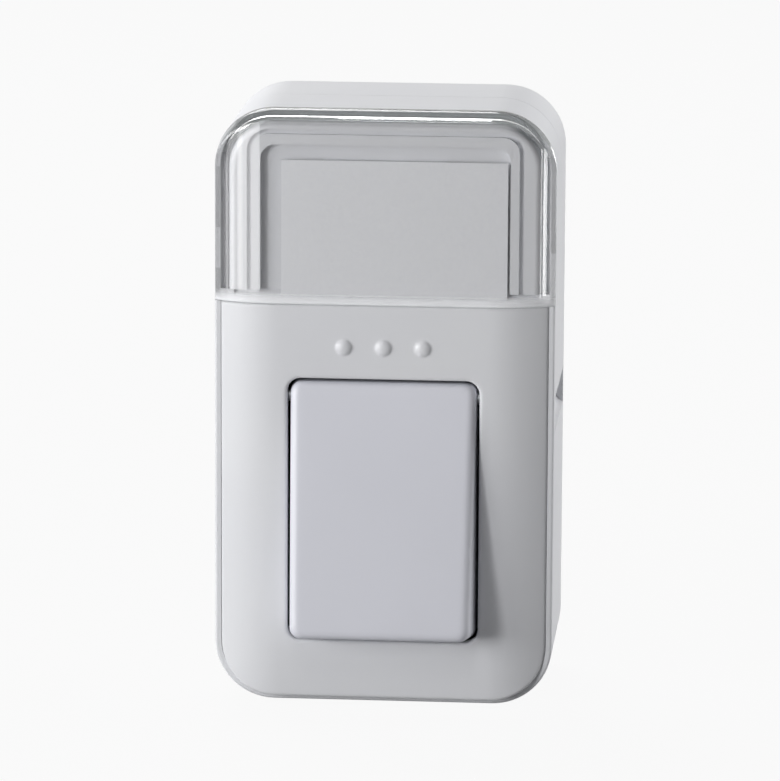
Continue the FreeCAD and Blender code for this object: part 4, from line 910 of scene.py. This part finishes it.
@dataclass
class Generator:
    """The press generator on the circuit board."""

    def build(self) -> None:
        """Dress the iron, the coil and the rocker."""
        dress(("iron_core", "front_pole_plate", "rear_pole_plate"), SOFT_IRON.material())
        dress(("magnet_block",), PLATED_MAGNET.material())
        dress(("coil_winding", "antenna_coil"), COPPER_WIRE.material())
        dress(("coil_bobbin", "rocker_block"), BLACK_NYLON.material())
        dress(("generator_cradle",), GREY_POLYESTER.material())
        dress(("coil_terminals", "board_screws"), ZINC_PLATE.material())


@dataclass
class RadioBoard:
    """The circuit board with its parts."""

    def build(self) -> None:
        """Dress the board and the parts on it."""
        dress(("circuit_board",), SOLDER_RESIST.material())
        dress(("radio_chip", "rectifier_bridge"), BLACK_EPOXY.material())
        dress(("storage_capacitor", "timing_crystal"), DRAWN_ALUMINIUM.material())


# Camera, light and floor


def outward(azimuth_deg: float, elevation_deg: float) -> Vector:
    """Direction from the object to a camera or a lamp.

    Args:
        azimuth_deg: Angle from straight in front, positive towards +X.
        elevation_deg: Angle above the level.

    Returns:
        The direction, one long.
    """
    azimuth, elevation = math.radians(azimuth_deg), math.radians(elevation_deg)
    return Vector((
        math.sin(azimuth) * math.cos(elevation),
        -math.cos(azimuth) * math.cos(elevation),
        math.sin(elevation),
    ))


@dataclass(frozen=True)
class Viewpoint:
    """The photograph's viewing angle, as an orbit round the middle of the case's seam plane."""

    azimuth_deg: float = 4.66
    elevation_deg: float = 11.91
    roll_deg: float = 0.26
    distance: float = 775.44 * MM
    target: tuple[float, float, float] = (0.0, -25.0 * MM, 0.33 * MM)
    focal_px: float = 5500.0
    centre_px: tuple[float, float] = (384.55, 405.27)
    sensor_mm: float = 36.0
    clip: tuple[float, float] = (0.01, 20.0)

    def build(self) -> None:
        """Create the camera and make it the scene's own."""
        back = outward(self.azimuth_deg, self.elevation_deg)
        right = Vector((0, 0, 1)).cross(back).normalized()
        up = back.cross(right)
        turn = Matrix((right, up, back)).transposed() @ Matrix.Rotation(
            math.radians(self.roll_deg), 3, "Z")
        lens = bpy.data.cameras.new("viewpoint")
        lens.sensor_fit = "HORIZONTAL"
        lens.sensor_width = self.sensor_mm
        lens.lens = self.focal_px * self.sensor_mm / PHOTO_WIDTH
        lens.shift_x = (PHOTO_WIDTH / 2 - self.centre_px[0]) / PHOTO_WIDTH
        lens.shift_y = (self.centre_px[1] - PHOTO_HEIGHT / 2) / PHOTO_WIDTH
        lens.clip_start, lens.clip_end = self.clip
        camera = add_object("viewpoint", lens)
        camera.matrix_world = Matrix.Translation(
            Vector(self.target) + back * self.distance) @ turn.to_4x4()
        bpy.context.scene.camera = camera


@dataclass(frozen=True)
class Softbox:
    """One area lamp that points at the object, placed by angles round it."""

    name: str
    azimuth_deg: float
    elevation_deg: float
    width: float
    height: float
    watts: float
    distance: float = 0.9
    aim: tuple[float, float, float] = (0.0, -20 * MM, 0.0)

    def build(self) -> None:
        """Create the lamp, turned towards the middle of the object."""
        data = bpy.data.lights.new(self.name, "AREA")
        data.shape, data.size, data.size_y = "RECTANGLE", self.width, self.height
        data.energy = self.watts
        away = outward(self.azimuth_deg, self.elevation_deg)
        turn = away.to_track_quat("Z", "Y").to_matrix().to_4x4()
        lamp = add_object(self.name, data)
        lamp.matrix_world = Matrix.Translation(Vector(self.aim) + away * self.distance) @ turn


@dataclass
class Studio:
    """Plain soft light, a pale floor and a white background.

    Each lamp is given by azimuth and elevation in degrees, width and height in metres, watts, and
    its distance where that isn't the usual one.
    """

    white: str = "FFFFFF"
    world_strength: float = 0.02
    floor_level: float = -42.6 * MM
    floor_size: float = 6.0
    floor_colour: str = "AAAAAA"
    floor_white_share: float = 0.93
    lamps: list[Softbox] = field(default_factory=lambda: [
        Softbox("key_strip", -41, 6, 0.12, 0.33, 2.4),
        Softbox("near_strip", -34, 6, 0.1, 0.22, 0.155, 0.3),
        Softbox("near_reflector", -46, 8, 0.07, 0.22, 0.065, 0.3),
        Softbox("top_strip", -4.7, 49.0, 0.05, 0.085, 0.2, 0.6),
        Softbox("right_strip", 45.5, -3.5, 0.014, 0.036, 0.0146, 0.25),
        Softbox("left_softbox", -65, 6, 0.5, 0.4, 4.3),
        Softbox("left_rear_softbox", -115, 15, 0.5, 0.5, 1.6),
        Softbox("right_rear_softbox", 114, 4, 0.5, 0.35, 7.5),
        Softbox("back_top_softbox", -155, 50, 0.5, 0.5, 4.5),
    ])

    @staticmethod
    def background_strength(
        tree: bpy.types.NodeTree, seen: float, lit: float
    ) -> bpy.types.NodeSocket:
        """Strength for rays that show the background, and for rays that light the object.

        Args:
            tree: Node tree of the world.
            seen: Strength for camera, glossy and transmission rays.
            lit: Strength for all other rays.

        Returns:
            The socket with the strength.
        """
        path = add_node(tree, "ShaderNodeLightPath")
        first = add_node(
            tree, "ShaderNodeMath",
            {0: path.outputs["Is Camera Ray"], 1: path.outputs["Is Glossy Ray"]},
            operation="MAXIMUM",
        )
        both = add_node(
            tree, "ShaderNodeMath",
            {0: first.outputs[0], 1: path.outputs["Is Transmission Ray"]},
            operation="MAXIMUM",
        )
        span = add_node(
            tree, "ShaderNodeMapRange",
            {"Value": both.outputs[0], "To Min": lit, "To Max": seen},
        )
        return span.outputs["Result"]

    def build(self) -> None:
        """Create the world, the lamps and the floor."""
        world = bpy.data.worlds.new("studio")
        world.use_nodes = True
        tree = world.node_tree
        tree.nodes.clear()
        strength = self.background_strength(tree, 1.0, self.world_strength)
        glow = add_node(tree, "ShaderNodeBackground",
                        {"Color": linear(self.white), "Strength": strength})
        output = add_node(tree, "ShaderNodeOutputWorld")
        tree.links.new(glow.outputs["Background"], output.inputs["Surface"])
        bpy.context.scene.world = world
        for lamp in self.lamps:
            lamp.build()
        self.floor()

    def floor(self) -> None:
        """Create the pale floor that the object stands on."""
        mesh = bpy.data.meshes.new("studio_floor")
        shape = bmesh.new()
        bmesh.ops.create_grid(shape, x_segments=1, y_segments=1, size=self.floor_size / 2)
        bmesh.ops.translate(shape, verts=shape.verts, vec=(0, 0, self.floor_level))
        shape.to_mesh(mesh)
        shape.free()
        mesh.materials.append(self.floor_material())
        add_object("studio_floor", mesh)

    def floor_material(self) -> bpy.types.Material:
        """Build the floor's material, nearly white to the camera and pale grey to the object.

        Returns:
            The material.
        """
        material, tree, output = blank_material("pale_floor")
        path = add_node(tree, "ShaderNodeLightPath")
        matte = add_node(tree, "ShaderNodeBsdfDiffuse", {"Color": linear(self.floor_colour)})
        white = add_node(
            tree, "ShaderNodeEmission", {"Color": linear(self.white), "Strength": 1.0})
        # The rest of what the camera sees is the matte floor with the object's shadow
        share = add_node(
            tree, "ShaderNodeMath",
            {0: path.outputs["Is Camera Ray"], 1: self.floor_white_share},
            operation="MULTIPLY",
        )
        mix = add_node(
            tree, "ShaderNodeMixShader",
            {0: share.outputs[0], 1: matte.outputs["BSDF"], 2: white.outputs["Emission"]},
        )
        tree.links.new(mix.outputs["Shader"], output.inputs["Surface"])
        return material


def main() -> None:
    """Build the camera, the studio and every sub-assembly."""
    logging.basicConfig(level=logging.INFO, format="%(message)s")
    bpy.context.scene.view_settings.view_transform = "Standard"
    Viewpoint().build()
    Studio().build()
    for part in (CaseShells(), LabelWindow(), PressButton(), Generator(), RadioBoard()):
        part.build()


if __name__ == "__main__":
    main()
